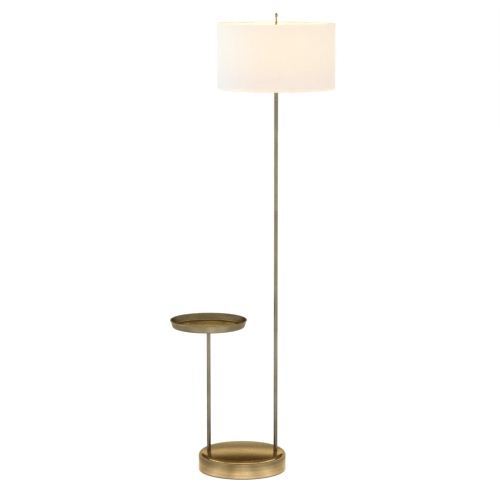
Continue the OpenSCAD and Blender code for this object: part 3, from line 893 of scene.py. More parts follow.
def makeSaddle():
    # a bent strip with an upright ear, a ledge and a peg at each end
    s = saddleSizes
    low = lowOf("harp_saddle")
    boxLow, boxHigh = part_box("harp_saddle")
    width, footX = boxHigh[1] - boxLow[1], harpSizes["footX"]
    ledge, bendZ = harpFootZ - s["ledgeT"], low + s["strip"] / 2
    line = [(-footX, ledge), (-footX, bendZ, s["bend"]), (footX, bendZ, s["bend"]), (footX, ledge)]
    bm = bmesh.new()
    line = soft(line, count=s["bendSteps"])
    verts = [bm.verts.new((x, -width / 2, z)) for x, z in line]
    edges = [bm.edges.new(pair) for pair in zip(verts, verts[1:])]
    widened = bmesh.ops.extrude_edge_only(bm, edges=edges)
    moved = [v for v in widened["geom"] if isinstance(v, bmesh.types.BMVert)]
    bmesh.ops.translate(bm, vec=(0, width, 0), verts=moved)
    bmesh.ops.recalc_face_normals(bm, faces=bm.faces)
    middleFace = min(bm.faces, key=lambda face: abs(face.calc_center_median().x))
    if middleFace.normal.z > 0:
        bmesh.ops.reverse_faces(bm, faces=bm.faces)
    bmesh.ops.solidify(bm, geom=bm.faces, thickness=s["strip"])
    shifted(bm, (0, 0, low - min(v.co.z for v in bm.verts)))
    bmesh.ops.recalc_face_normals(bm, faces=bm.faces)
    least = math.radians(s["edgeTurn"])
    rims = [e for e in bm.edges if e.is_manifold and e.calc_face_angle() > least]
    bevelled(bm, rims, s["edge"], 2)
    shifted(bm, lampAxis)
    bore = (s["boreR"], low - overshoot, low + overshoot, lampAxis, 0, s["boreSteps"])
    bm = carved(bm, rod(*bore))
    pegLow, pegTop = harpFootZ - s["pegRoot"], harpFootZ + harpSizes["pegL"]
    for foot in harpFeet:
        bm = joined(bm, rod(s["ledgeR"], ledge, harpFootZ, foot, smallEdge, s["ledgeSteps"]))
        bm = joined(bm, rod(harpSizes["pegR"], pegLow, pegTop, foot, softEdge, s["pegSteps"]))
    return asPiece(bm, "harpSaddle", "stand", fittingBrass, ["harp_saddle"])


def harpPath():
    # right half of the wire, from the foot up to the middle of the top
    s = harpSizes
    footR, topR = s["footR"], s["topR"]
    lean = math.acos(1 - (s["halfWidth"] - s["footX"]) / (2 * footR))
    leanDeg = math.degrees(lean)
    sleeveTop = harpFootZ + s["footH"]
    bendZ = sleeveTop + s["legL"]
    sideZ = bendZ + 2 * footR * math.sin(lean)
    topZ = topOf("harp") - s["wireR"] - topR
    path = [(s["footX"], sleeveTop - s["inSleeve"])]
    path += arc(s["footX"] + footR, bendZ, footR, 180, 180 - leanDeg, s["bendSteps"])
    path += arc(s["halfWidth"] - footR, sideZ, footR, -leanDeg, 0, s["bendSteps"])[1:]
    path += arc(s["halfWidth"] - topR, topZ, topR, 0, 90, s["topSteps"])
    return path


def makeHarp():
    s = harpSizes
    half = harpPath()
    whole = half + [(-x, z) for x, z in reversed(half)]
    bm = wire([(lampX + x, 0, z) for x, z in whole], s["wireR"], s["wireSides"])
    top, hollow = harpFootZ + s["footH"], harpFootZ + s["pegL"] + s["inSleeve"]
    bore, edge = s["pegR"] + s["slip"], s["sleeveRound"]
    sleeve = [
        (bore, harpFootZ),
        (s["sleeveR"], harpFootZ, smallEdge),
        (s["sleeveR"], top - edge, edge),
        (s["wireR"], top, s["wireRound"]),
        (0, top),
        (0, hollow),
        (bore, hollow),
    ]
    sleeve = soft(sleeve, True, 3)
    bm = joined(bm, *(spun(sleeve, foot, s["sleeveSteps"]) for foot in harpFeet))
    return asPiece(bm, "harp", "stand", fittingBrass, ["harp"])


seatSizes = dict(
    bossR=0.0045,
    bossRound=0.0008,
    plateR=0.0075,
    plateT=0.002,
    plateRound=(0.0004, 0.0005),  # its lower and its upper edge
    studR=0.0031,
    pitch=0.0009,
    threadDepth=0.0004,
    threadEnds=(0.0006, 0.0014),  # plain lengths below and above the thread
    tip=[(0, -0.0009), (-0.0006, 0)],
    channelHalf=0.02,
    channelSteps=32,
    steps=48,
)


def makeHarpSeat():
    # boss, round plate and the threaded stud that takes the finial
    s = seatSizes
    low, top = heights("harp_seat")
    plateTop, stud = lowOf("shade_washer"), s["studR"]
    plate = plateTop - s["plateT"]
    lowRound, topRound = s["plateRound"]
    profile = [
        (0, low),
        (s["bossR"], low, s["bossRound"]),
        (s["bossR"], plate),
        (s["plateR"], plate, lowRound),
        (s["plateR"], plateTop, topRound),
        (stud, plateTop),
    ]
    below, above = s["threadEnds"]
    for z in turnsOf(plateTop + below, top - above, s["pitch"]):
        profile += [(stud, z), (stud - s["threadDepth"], z + s["pitch"] / 2)]
    profile += outline(stud, top, s["tip"]) + [(0, top)]
    bm = spun(soft(profile, count=3), lampAxis, s["steps"], closed=False)
    # the harp's wire runs through the boss in a channel
    wireR, half = harpSizes["wireR"], s["channelHalf"]
    place = (lampX, 0, topOf("harp") - wireR)
    channel = (wireR + harpSizes["slip"], -half, half, place, 0, s["channelSteps"], toSide)
    bm = carved(bm, rod(*channel))
    return asPiece(bm, "harpSeat", "stand", fittingBrass, ["harp_seat"])


ferruleSizes = dict(
    slip=0.00008,
    # way out, way up, rounding: from the full radius and the foot, then from the nose and the top
    foot=[(-0.0002, 0, 0.0005), (-0.0002, 0.0009)],
    band=[(-0.0005, 0.0011), (-0.0013, 0.0050), (-0.0010, 0.0052)],
    noseT=0.0011,
    nose=[(0.0002, -0.0016, 0.0010), (-0.0004, 0, 0.0004)],
    knurled=(0.0012, 0.0049),  # heights above the foot
    knurlGap=0.00012,
    knurlDepth=0.00018,
    steps=48,
)


def makeFerrule(name, node):
    # a sliding sleeve with a knurled band and a tapered nose
    s = ferruleSizes
    axis = (middle(node).x, 0, 0)
    low, top = heights(node)
    outer, bore = radiusOf(node), harpSizes["sleeveR"] + s["slip"]
    profile = [
        (bore, low),
        *outline(outer, low, s["foot"] + s["band"]),
        *outline(bore + s["noseT"], top, s["nose"]),
        (bore, top),
    ]
    bm = spun(soft(profile, True, 3), axis, s["steps"])
    bandLow, bandTop = (low + z for z in s["knurled"])
    band = []
    for face in bm.faces:
        centre = face.calc_center_median()
        reach = math.hypot(centre.x - axis[0], centre.y)
        if bandLow < centre.z < bandTop and reach > bore + smallEdge:
            band.append(face)
    bmesh.ops.inset_individual(bm, faces=band, thickness=s["knurlGap"], depth=s["knurlDepth"])
    return asPiece(bm, name, node, fittingBrass, [node])


makeSaddle()
makeHarp()
makeHarpSeat()
makeFerrule("ferruleLeft", "ferrule_left")
makeFerrule("ferruleRight", "ferrule_right")
print("harp ready")


# lamp holder

holderSizes = dict(
    neckR=0.0075,
    neckRound=0.0006,
    cupZ=0.003,
    cupFoot=0.001,
    cupRound=0.009,
    sheet=0.0008,
    boreR=0.00505,
    # way out, way up, rounding: from the full radius and the top, outside and then inside
    rim=[
        (-0.0002, -0.0046),
        (-0.0006, -0.0042, 0.0003),
        (-0.0006, -0.0034, 0.0003),
        (0, -0.0030, 0.0003),
        (0, -0.0006, 0.0004),
        (-0.0004, 0, 0.0003),
        (-0.0008, -0.0006),
        (-0.0008, -0.0028),
        (-0.0010, -0.0050),
    ],
    cupSteps=12,
    switchZ=0.027,
    switchR=0.0035,
    switchReach=(0.008, 0.024),  # from the axis to the front
    switchSteps=40,
    shellSheet=0.0006,
    shellBead=0.0009,
    beadSteps=8,
    shellGrooves=(0.0125, 0.0320),
    groove=[(0, 0), (-0.0003, 0.0006, 0.0003), (0, 0.0012)],
    liner=0.0006,
    linerSteps=72,
    steps=80,
)
switchPlace = (lampX, 0, lowOf("holder_cap") + holderSizes["switchZ"])


def switchHole():
    # a cutter along the switch shaft, towards the front
    s = holderSizes
    return rod(s["switchR"], *s["switchReach"], switchPlace, 0, s["switchSteps"], toFront)


def makeHolderCap():
    s = holderSizes
    low, top = heights("holder_cap")
    outer, sheet, bend = radiusOf("holder_cap"), s["sheet"], s["cupRound"]
    cup = low + s["cupZ"]
    profile = [
        (s["boreR"], low),
        (s["neckR"], low, softEdge),
        (s["neckR"], cup, s["neckRound"]),
        (outer - bend - s["cupFoot"], cup, s["cupFoot"]),
        *arc(outer - bend, cup + bend, bend, -84, 0, s["cupSteps"]),
        *outline(outer, top, s["rim"]),
        *arc(outer - bend, cup + bend, bend - sheet, 0, -90, s["cupSteps"]),
        (s["boreR"], cup + sheet),
    ]
    bm = spun(soft(profile, True, 3), lampAxis, s["steps"])
    return asPiece(bm, "holderCap", "stand", fittingBrass, ["holder_cap"])


def makeHolderShell():
    s = holderSizes
    low, top = heights("holder_shell")
    bead = s["shellBead"]
    outer = radiusOf("holder_shell") - bead * 2 / 3
    inner = outer - s["shellSheet"]
    beadZ = top - 3 * bead
    profile = [(outer, low, crispEdge)]
    for z in s["shellGrooves"]:
        profile += outline(outer, low + z, s["groove"])
    profile += [
        (outer, beadZ - bead),
        *arc(outer - bead / 3, beadZ, bead, -70, 70, s["beadSteps"]),
        (outer, beadZ + bead),
        (outer, top, smallEdge),
        (inner, top, smallEdge),
        (inner, low),
    ]
    bm = carved(spun(soft(profile, True, 3), lampAxis, s["steps"]), switchHole())
    return asPiece(
        bm, "holderShell", "stand", fittingBrass, ["holder_shell"]
    )


def makeInsulator():
    s = holderSizes
    low, top = heights("holder_insulator")
    outer = radiusOf("holder_insulator")
    inner = outer - s["liner"]
    profile = [(inner, low), (outer, low), (outer, top, crispEdge), (inner, top, crispEdge)]
    bm = carved(spun(soft(profile, True, 3), lampAxis, s["linerSteps"]), switchHole())
    replaced = ["holder_insulator"]
    return asPiece(
        bm, "holderInsulator", "stand", fibreBoard, replaced, sharp=38
    )


threadPitch = 0.0036  # of the bulb and its holder
screwSizes = dict(
    lip=0.001,
    sheet=0.0006,
    holeR=0.0055,
    threadEnds=(0.0024, 0.0030),
    roll=[(0, 0), (0.0005, 0.35 * threadPitch, 0.0005), (0, 0.7 * threadPitch)],
    footRound=0.0008,
    innerRound=0.0004,
    steps=64,
)


def makeScrewShell():
    # threaded metal cup that takes the bulb; the thread shows as rolled rings
    s = screwSizes
    low, top = heights("screw_shell")
    rim, sheet, hole = radiusOf("screw_shell"), s["sheet"], s["holeR"]
    outer, lip = rim - s["lip"], top - s["lip"]
    inner = outer - sheet
    below, above = s["threadEnds"]
    outside, inside = [], []
    for z in turnsOf(low + below, top - above, threadPitch):
        outside += outline(outer, z, s["roll"])
        inside += outline(inner, z, s["roll"])
    profile = [
        (hole, low),
        (outer, low, s["footRound"]),
        *outside,
        (outer, lip),
        (rim, lip, crispEdge),
        (rim, top, smallEdge),
        (inner, top, softEdge),
        *reversed(inside),
        (inner, low + sheet, s["innerRound"]),
        (hole, low + sheet),
    ]
    bm = spun(soft(profile, True, 3), lampAxis, s["steps"])
    return asPiece(bm, "screwShell", "stand", brightMetal, ["screw_shell"])


keySizes = dict(
    thick=0.0034,
    paddleRound=0.0009,
    grip=0.004,  # length of the round neck over the shaft
    boreR=0.00252,
    neckR=0.0040,
    neckRise=0.0016,  # past the paddle's edge
    neckDome=0.0020,
    neckRound=0.0012,
    boreEnd=0.0002,
    neckSteps=32,
    discSteps=64,
    ribs=7,
    ribGap=0.0018,
    ribT=0.0008,
    ribSpan=0.55,  # length and middle, in shares of the paddle
    ribMiddle=0.42,
)


def makeSwitchKey():
    # a moulded paddle with finger ribs on a round neck
    s = keySizes
    low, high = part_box("switch_key")
    width, front = high[0] - low[0], low[1]
    thick, grip = s["thick"], s["grip"]
    paddleL = high[1] - front - grip
    discPlace, edge = (0, front + width / 2, 0), s["paddleRound"]
    disc = rod(width / 2, -thick / 2, thick / 2, discPlace, edge, s["discSteps"])
    trimSize = (width + overshoot, paddleL, thick + overshoot)
    trim = block(trimSize, (0, front + paddleL / 2, 0))
    bm = carved(disc, trim, operation="INTERSECT")
    neckEnd = -(front + paddleL)
    neck = [
        (s["boreR"], neckEnd - grip),
        (s["neckR"], neckEnd - grip, softEdge),
        (s["neckR"], neckEnd + s["neckRise"], s["neckRound"]),
        (0, neckEnd + s["neckDome"]),
        (0, neckEnd - s["boreEnd"]),
        (s["boreR"], neckEnd - s["boreEnd"]),
    ]
    bm = joined(bm, spun(soft(neck, True, 3), steps=s["neckSteps"], tilt=toFront))
    ribSize = (s["ribT"], paddleL * s["ribSpan"], s["ribT"])
    for i in range(s["ribs"]):
        x = (i - (s["ribs"] - 1) / 2) * s["ribGap"]
        for side in (-1, 1):
            place = (x, front + paddleL * s["ribMiddle"], side * thick / 2)
            bm = joined(bm, block(ribSize, place, crispEdge))
    shifted(bm, switchPlace)
    return asPiece(
        bm, "switchKey", "switch", blackPlastic, ["switch_key"], sharp=35
    )


makeHolderCap()
makeHolderShell()
makeInsulator()
makeScrewShell()
makeSwitchKey()
print("holder ready")


# bulb

bulbSizes = dict(
    # radius, height above the cap's foot, rounding: contact, glass bead and shoulder
    contact=[
        (0.0034, 0, 0.0010),
        (0.0042, 0.0010, 0.0004),
        (0.0068, 0.0018, 0.0008),
    ],
    shoulder=[(-0.0026, 0.0036, 0.0010)],
    threadEnds=(0.0052, 0.0050),
    threadDepth=0.0008,
    threadRound=(0.0006, 0.0009),  # in the root and on the crest
    rim=[(-0.0004, 0, 0.0003)],
    capSteps=64,
    sheet=0.0012,
    neckSteps=16,
    globeSteps=18,
    globeStart=5,  # degrees below which the neck swells into the globe
    steps=72,
    glowBelowTop=0.03,  # full glow this far down, and the fall from there to the neck
    glowFoot=0.045,
    glowRamp=((0.0, (0.7, 0.42, 0.2)), (1.0, (1.0, 0.84, 0.60))),
)


def frostedGlobe(name, centre):
    r = Recipe(name)
    spot = r.place(centre)
    frost = r.noise(spot, 900.0, 2.0)
    level = r.span(r.split(spot)[2], -bulbSizes["glowFoot"], 0.0, 0.35, 1.0)
    return r.finish(
        Base_Color=r.ramp(frost, (0.3, (0.86, 0.84, 0.79)), (0.7, (0.92, 0.90, 0.86))),
        Roughness=0.45,
        Coat_Weight=0.3,
        Emission_Color=r.ramp(level, *bulbSizes["glowRamp"]),
        Emission_Strength=1.0,
        Normal=r.bump(frost, 0.2, 0.00002),
    )


def makeBulbCap():
    s = bulbSizes
    low, top = heights("bulb_cap")
    outer = radiusOf("bulb_cap")
    root = outer - s["threadDepth"]
    below, above = s["threadEnds"]
    turns = turnsOf(low + below, top - above, threadPitch)
    profile = [(0, low), *outline(0, low, s["contact"]), *outline(outer, low, s["shoulder"])]
    rootRound, crestRound = s["threadRound"]
    for z in turns:
        profile += [(root, z, rootRound), (outer, z + threadPitch / 2, crestRound)]
    profile += [(root, turns[-1] + threadPitch, 0.0004), *outline(outer, top, s["rim"]), (0, top)]
    bm = spun(soft(profile), lampAxis, s["capSteps"], closed=False)
    return asPiece(bm, "bulbCap", "bulb", brightMetal, ["bulb_cap"], sharp=40)


def makeBulbGlobe():
    s = bulbSizes
    low, top = heights("bulb_globe")
    globeR, capR, sheet = radiusOf("bulb_globe"), radiusOf("bulb_cap"), s["sheet"]
    centreZ = top - globeR
    neck = []
    for i in range(s["neckSteps"] + 1):
        t = i / s["neckSteps"]
        swell = 3 * t ** 2 - 2 * t ** 3
        neck.append((capR + (globeR - capR) * swell, low + (centreZ - low) * t))
    start, steps = s["globeStart"], s["globeSteps"]
    outside = neck + arc(0, centreZ, globeR, start, 90, steps)
    inside = arc(0, centreZ, globeR - sheet, 90, start, steps)
    inside += [(r - sheet, z) for r, z in reversed(neck)]
    bm = spun(outside + inside, lampAxis, s["steps"])
    glowPlace = (lampX, 0, top - s["glowBelowTop"])
    globe = frostedGlobe("frostedGlobe", glowPlace)
    return asPiece(bm, "bulbGlobe", "bulb", globe, ["bulb_globe"], sharp=50)


makeBulbCap()
makeBulbGlobe()
print("bulb ready")


# shade

shadeSizes = dict(
    cloth=0.0007,
    liner=0.0007,
    edge=smallEdge,
    tapeH=0.009,
    tape=0.0005,
    tapeLap=0.0003,
    tapeInside=0.0018,
    tapeRounds=(0.0002, 0.0005, 0.0004, 0.0001),  # mouth, fold out, fold in, hem
    slip=0.00005,
    shelf=0.00002,
    tapeTurn=0.004,  # what each tape folds over to the inside
    tapeGap=0.0002,  # between the seam and the tapes
    seam=0.012,
    seamT=0.0004,
    seamRoot=0.0001,  # how far it reaches into the cloth
    seamSteps=6,
    rows=6,
    steps=192,
)
clothLow, clothTop = heights("shade_cloth")
clothLook = dict(
    pitch=0.00075,  # between threads
    slubScale=420.0,
    slubShade=0.945,  # how much light the thick threads and the gaps let through
    threadShade=0.90,
    glowZ=topOf("bulb_globe") - radiusOf("bulb_globe") + 0.012,  # height of the strongest glow
    fall=0.46,
    glow=(0.99, 0.765, 0.475),
    glowEdge=(0.76, 0.58, 0.47),
    cloth=(0.740, 0.688, 0.636),
    slub=(0.703, 0.650, 0.595),
    strength=0.315,
)
tapeLook = dict(clothLook, strength=0.30, fall=0.0)
linerLook = dict(
    fall=0.35,
    glow=(1.0, 0.86, 0.64),
    glowEdge=(1.0, 0.74, 0.46),
    dark=(0.82, 0.80, 0.75),
    light=(0.86, 0.84, 0.80),
    strength=0.22,
)


def weave(r, pitch, slub):
    # height of a plain weave on the piece's UV map, which is in metres, and its thick threads
    coords = r.add("TexCoord").outputs["UV"]
    u, v = r.split(coords)[:2]
    waver = r.sum("MULTIPLY", r.sum("SUBTRACT", r.noise(coords, 60.0, 2.0), 0.5), pitch * 0.7)
    across, along = (
        r.sum("SINE", r.sum("MULTIPLY", r.sum("ADD", side, waver), math.pi / pitch))
        for side in (u, v)
    )
    pick = r.sum("GREATER_THAN", r.sum("MULTIPLY", across, along), 0.0)
    warp = r.sum("MULTIPLY", pick, r.sum("ABSOLUTE", across))
    weft = r.sum("MULTIPLY", r.sum("SUBTRACT", 1.0, pick), r.sum("ABSOLUTE", along))
    thickWeft = r.noise(r.vector(r.sum("MULTIPLY", u, 0.04), v, 0.0), slub, 2.0)
    thickWarp = r.noise(r.vector(u, r.sum("MULTIPLY", v, 0.04), 3.0), slub, 2.0)
    return r.sum("ADD", warp, weft), r.sum("MAXIMUM", thickWeft, thickWarp)


def glowFall(r, spot, share):
    # loss of light above and below a place, as the square of the way from it
    away = r.sum("DIVIDE", r.split(spot)[2], (clothTop - clothLow) / 2)
    return r.sum("MULTIPLY", r.sum("POWER", away, 2.0), share)


def litLinen(name, look):
    # cloth with the lamp's glow in it: threads pass less light than the gaps between them
    r = Recipe(name)
    height, slubs = weave(r, look["pitch"], look["slubScale"])
    fall = glowFall(r, r.place((lampX, 0, look["glowZ"])), look["fall"])
    thread = r.span(slubs, 0.50, 0.72, 1.0, look["slubShade"])
    gaps = r.span(height, 0.0, 1.0, 1.0, look["threadShade"])
    level = r.sum("MULTIPLY", r.sum("SUBTRACT", 1.0, fall), r.sum("MULTIPLY", thread, gaps))
    return r.finish(
        Base_Color=r.ramp(slubs, (0.45, look["cloth"]), (0.75, look["slub"])),
        Roughness=0.9,
        Sheen_Weight=0.25,
        Sheen_Roughness=0.4,
        Emission_Color=r.ramp(level, (0.55, look["glowEdge"]), (1.0, look["glow"])),
        Emission_Strength=look["strength"],
        Normal=r.bump(r.sum("ADD", height, r.sum("MULTIPLY", slubs, 1.5)), 0.5, 0.00012),
    )


def litLiner(name, look):
    r = Recipe(name)
    spot = r.place((lampX, 0, (clothLow + clothTop) / 2))
    mottle = r.noise(spot, 90.0, 3.0)
    level = r.sum("SUBTRACT", r.span(mottle, 0.2, 0.8, 0.96, 1.0), glowFall(r, spot, look["fall"]))
    return r.finish(
        Base_Color=r.ramp(mottle, (0.3, look["dark"]), (0.7, look["light"])),
        Roughness=0.5,
        Emission_Color=r.ramp(level, (0.5, look["glowEdge"]), (1.0, look["glow"])),
        Emission_Strength=look["strength"],
        Normal=r.bump(mottle, 0.1, 0.0002),
    )


def addWallUv(bm, radius):
    # UV in metres: round the wall and up it
    uv = bm.loops.layers.uv.new("wall")
    for face in bm.faces:
        centre = face.calc_center_median()
        middleAngle = math.atan2(centre.y, centre.x - lampX)
        for loop in face.loops:
            co = loop.vert.co
            angle = math.atan2(co.y, co.x - lampX)
            turns = round((middleAngle - angle) / (2 * math.pi))
            loop[uv].uv = ((angle + turns * 2 * math.pi) * radius, co.z)
    return bm


def wallProfile(radius, thickness, low, top, edge):
    # a thin upright wall
    inner, rows = radius - thickness, shadeSizes["rows"]
    steps = [low + (top - low) * i / rows for i in range(1, rows)]
    profile = [(radius, z) for z in steps] + [(radius, top, edge), (inner, top, edge)]
    profile += [(inner, z) for z in reversed(steps)] + [(inner, low, edge), (radius, low, edge)]
    return soft(profile, True, 3)


def makeCloth():
    s = shadeSizes
    outer = radiusOf("shade_cloth")
    profile = wallProfile(outer, s["cloth"], clothLow, clothTop, s["edge"])
    bm = spun(profile, lampAxis, s["steps"])
    # the cloth laps over itself in one upright seam at the back
    inset = s["tapeH"] + s["tapeGap"]
    seamR, seamT = outer + s["seamT"], s["seamT"] + s["seamRoot"]
    profile = wallProfile(seamR, seamT, clothLow + inset, clothTop - inset, crispEdge)
    turn = s["seam"] / outer
    start = Matrix.Rotation(math.pi / 2 - turn / 2, 3, "Z")
    strip = bmesh.new()
    section = strip.faces.new([strip.verts.new(start @ Vector((r, 0, z))) for r, z in profile])
    sweep(strip, [section], turn, s["seamSteps"])
    bmesh.ops.recalc_face_normals(strip, faces=strip.faces)
    bm = addWallUv(joined(bm, shifted(strip, lampAxis)), outer)
    linen = litLinen("shadeLinen", clothLook)
    return asPiece(bm, "shadeCloth", "shade", linen, ["shade_cloth"], sharp=60)


def makeTapes():
    # each hem tape folds over the edge of the shade and ends just above the ring
    s = shadeSizes
    outer = radiusOf("shade_tapes")
    inner = radiusOf("shade_liner") - s["liner"] - s["slip"]
    high, face = s["tapeH"], outer - s["tape"]
    fold, hemEnd, shelf = high + s["tapeLap"], high - s["tapeInside"], high + s["shelf"]
    mouth, foldOut, foldIn, end = s["tapeRounds"]
    hem = [
        (outer, 0, mouth),
        (outer, fold, foldOut),
        (inner - foldIn, fold, foldIn),
        (inner - foldIn, hemEnd, end),
        (inner, hemEnd, end),
        (inner, shelf),
        (face, shelf),
        (face, 0),
    ]
    hem = soft(hem, True, 3)
    upper = spun([(r, clothTop - high + z) for r, z in hem], lampAxis, s["steps"])
    lower = spun([(r, clothLow + high - z) for r, z in hem], lampAxis, s["steps"])
    bm = addWallUv(joined(upper, lower), outer)
    tapeLinen = litLinen("tapeLinen", tapeLook)
    return asPiece(bm, "shadeTapes", "shade", tapeLinen, ["shade_tapes"], sharp=60)


def makeLining():
    s = shadeSizes
    low, top = heights("shade_liner")
    outer = radiusOf("shade_liner")
    bm = spun(wallProfile(outer, s["liner"], low, top, s["edge"]), lampAxis, s["steps"])
    bm = addWallUv(bm, outer)
    liner = litLiner("shadeLiner", linerLook)
    return asPiece(bm, "shadeLining", "shade", liner, ["shade_liner"], sharp=60)


spiderSizes = dict(
    ringWire=0.0016,
    ringSides=10,
    armWire=0.0014,
    armSides=4,
    armTurns=(90, 210, 330),
    armStart=0.0001,  # from the washer's edge
    armDown=0.0005,  # from the washer's top
    # an arm's bend: way out, share of its rise and rounding
    bend=(0.02, 0.10, 0.05),
    bendSteps=6,
    weldR=0.00189,
    weld=(-0.0035, -0.0006),  # from the middle of the ring's wire
    weldRound=0.0008,
    weldSteps=16,
    washerBore=0.00318,
    washerRounds=(0.0004, 0.0006, 0.0003),  # lower, upper and inner edge
    washerSteps=64,
)


def wireRing(ringZ):
    s = spiderSizes
    wireR, sides = s["ringWire"], s["ringSides"]
    ringR = radiusOf("shade_bottom_ring") - wireR
    section = arc(ringR, ringZ, wireR, 0, 360 - 360 / sides, sides - 1)
    return spun(section, lampAxis, shadeSizes["steps"])


def makeSpider():
    # ring, and three arms that dip to the washer, each with its weld
    s = spiderSizes
    ringR = radiusOf("shade_bottom_ring") - s["ringWire"]
    ringZ = topOf("shade_spider") - s["ringWire"]
    bm = wireRing(ringZ)
    start = radiusOf("shade_washer") + s["armStart"]
    armZ = topOf("shade_washer") - s["armDown"] - s["armWire"]
    way, share, edge = s["bend"]
    bend = (start + way, armZ + (ringZ - armZ) * share, edge)
    line = soft([(start, armZ), bend, (ringR, ringZ)], count=s["bendSteps"])
    weldLow, weldTop = (ringR + reach for reach in s["weld"])
    for turn in s["armTurns"]:
        spin = Matrix.Rotation(math.radians(turn), 3, "Z")
        path = [spin @ Vector((r, 0, z)) + Vector(lampAxis) for r, z in line]
        bm = joined(bm, wire(path, s["armWire"], s["armSides"]))
        weld = (s["weldR"], weldLow, weldTop, (0, 0, 0), s["weldRound"], s["weldSteps"], toSide)
        weld = rod(*weld)
        bmesh.ops.rotate(weld, cent=(0, 0, 0), matrix=spin, verts=weld.verts)
        bm = joined(bm, shifted(weld, (lampX, 0, ringZ)))
    return asPiece(bm, "shadeSpider", "shade", whiteWire, ["shade_spider"], sharp=50)


def makeShadeWasher():
    s = spiderSizes
    low, top = heights("shade_washer")
    outer, bore = radiusOf("shade_washer"), s["washerBore"]
    lower, upper, inner = s["washerRounds"]
    profile = [(bore, low), (outer, low, lower), (outer, top, upper), (bore, top, inner)]
    bm = spun(soft(profile, True), lampAxis, s["washerSteps"])
    return asPiece(bm, "shadeWasher", "shade", whiteWire, ["shade_washer"], sharp=38)


def makeBottomRing():
    bm = wireRing(topOf("shade_bottom_ring") - spiderSizes["ringWire"])
    return asPiece(
        bm, "shadeBottomRing", "shade", whiteWire, ["shade_bottom_ring"], sharp=50
    )


cloth = makeCloth()
tapes = makeTapes()
lining = makeLining()
makeSpider()
makeShadeWasher()
makeBottomRing()
print("shade ready")


# finial

finialSizes = dict(
    bore=0.00315,
    boreEnd=0.012,
    wall=0.0043,
    neck=0.0025,
    knob=0.005,
    # way out, way up, rounding: from the foot's edge, from the stem's wall and from the neck
    foot=[
        (0, 0, 0.0005),
        (0, 0.0018, 0.0007),
        (-0.0016, 0.0026, 0.0004),
        (-0.0016, 0.0032, 0.0005),
    ],
    stem=[
        (0.0002, 0.0058, 0.0022),
        (0, 0.0150, 0.0010),
        (-0.0012, 0.0160, 0.0004),
        (-0.0012, 0.0166, 0.0003),
    ],
    waist=[(0.0008, 0.0172, 0.0004), (0, 0.0190, 0.0020)],
    # height from the knob's middle in knob radii
    collar=[(0, -1.5, 0.0020), (0.0012, -1.22, 0.0004), (0.0012, -1.10, 0.0004)],
    # in knob radii: the knob's middle below the top, and the shoulder over the knob
    knobDown=1.75,
    knobTurn=(-52, 40),
    knobSteps=14,
    shoulder=(0.52, 1.02, 0.0020),
    tip=0.0009,
    tipDown=0.0007,
    steps=64,
)


def makeFinial():
    s = finialSizes
    low, top = heights("finial")
    knob, neck, bore, tip = s["knob"], s["neck"], s["bore"], s["tip"]
    knobZ = top - s["knobDown"] * knob
    out, up, edge = s["shoulder"]
    collar = [(r, z * knob, rounding) for r, z, rounding in s["collar"]]
    profile = [
        (bore, low),
        *outline(radiusOf("finial"), low, s["foot"]),
        *outline(s["wall"], low, s["stem"]),
        *outline(neck, low, s["waist"]),
        *outline(neck, knobZ, collar),
        *arc(0, knobZ, knob, *s["knobTurn"], s["knobSteps"]),
        (knob * out, knobZ + knob * up, edge),
        (tip, top - s["tipDown"], tip),
        (0, top),
        (0, low + s["boreEnd"]),
        (bore, low + s["boreEnd"]),
    ]
    bm = spun(soft(profile, True), lampAxis, s["steps"])
    return asPiece(bm, "finial", "finial", finialBrass, ["finial"])


makeFinial()
print("finial ready")


# pieces carried over from the CAD get their finish

finishes = [
    (zincSteel, ["base_cover", "cover_screws", "anchor_washers", "anchor_nuts"]),
    (zincSteel, ["lamp_nipple", "table_stud", "pole_joiners", "top_nipple"]),
    (ironCasting, ["base_weight"]),
    (blackPlastic, ["holder_core", "switch_shaft"]),
    (contactMetal, ["centre_contact"]),
]
for material, nodes in finishes:
    for node in nodes:
        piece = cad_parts[node]
        for slot in piece.material_slots:
            slot.material = material
        if not piece.material_slots:
            piece.data.materials.append(material)
print("finishes ready")


# floor, light and camera

studio = dict(
    floorHalf=14.0,
    floorTone=0.30,
    floorGlow=0.80,
    floorZ=-0.0005,
    ringZ=0.0012,
    # world light by height: sine of the elevation, then the colour
    sky=(
        (0.00, (1.00, 1.00, 1.00)),
        (0.08, (1.00, 1.00, 1.00)),
        (0.12, (0.62, 0.59, 0.52)),
        (0.19, (0.42, 0.39, 0.32)),
        (0.215, (0.22, 0.20, 0.16)),
        (0.25, (1.25, 1.15, 0.95)),
        (0.29, (1.25, 1.15, 0.95)),
        (0.325, (0.13, 0.08, 0.02)),
        (0.42, (0.13, 0.08, 0.02)),
        (0.60, (0.34, 0.29, 0.19)),
        (1.00, (0.36, 0.31, 0.21)),
    ),
    # tone of the floor that the brass sees, by the turn from the front (0) to the back (1)
    ring=(
        (0.0, 1.0),
        (0.04, 1.0),
        (0.11, 0.70),
        (0.15, 0.72),
        (0.24, 0.92),
        (0.30, 0.75),
        (0.40, 0.52),
        (1.0, 0.50),
    ),
    # and by the way outwards: the root of the share of ringReach
    ringFade=(
        (0.0, 2.0),
        (0.13, 1.9),
        (0.20, 1.1),
        (0.27, 0.80),
        (0.33, 0.82),
        (0.42, 1.12),
        (1.0, 1.1),
    ),
    ringReach=(0.159, 3.0),
    ringSteps=96,
)
floorMiddle, baseMiddle = (0, 0, 0), (0, 0, 0.3)
trayMiddle, shadeMiddle = (tableX, 0, 0.5), (lampX, 0, 1.4)
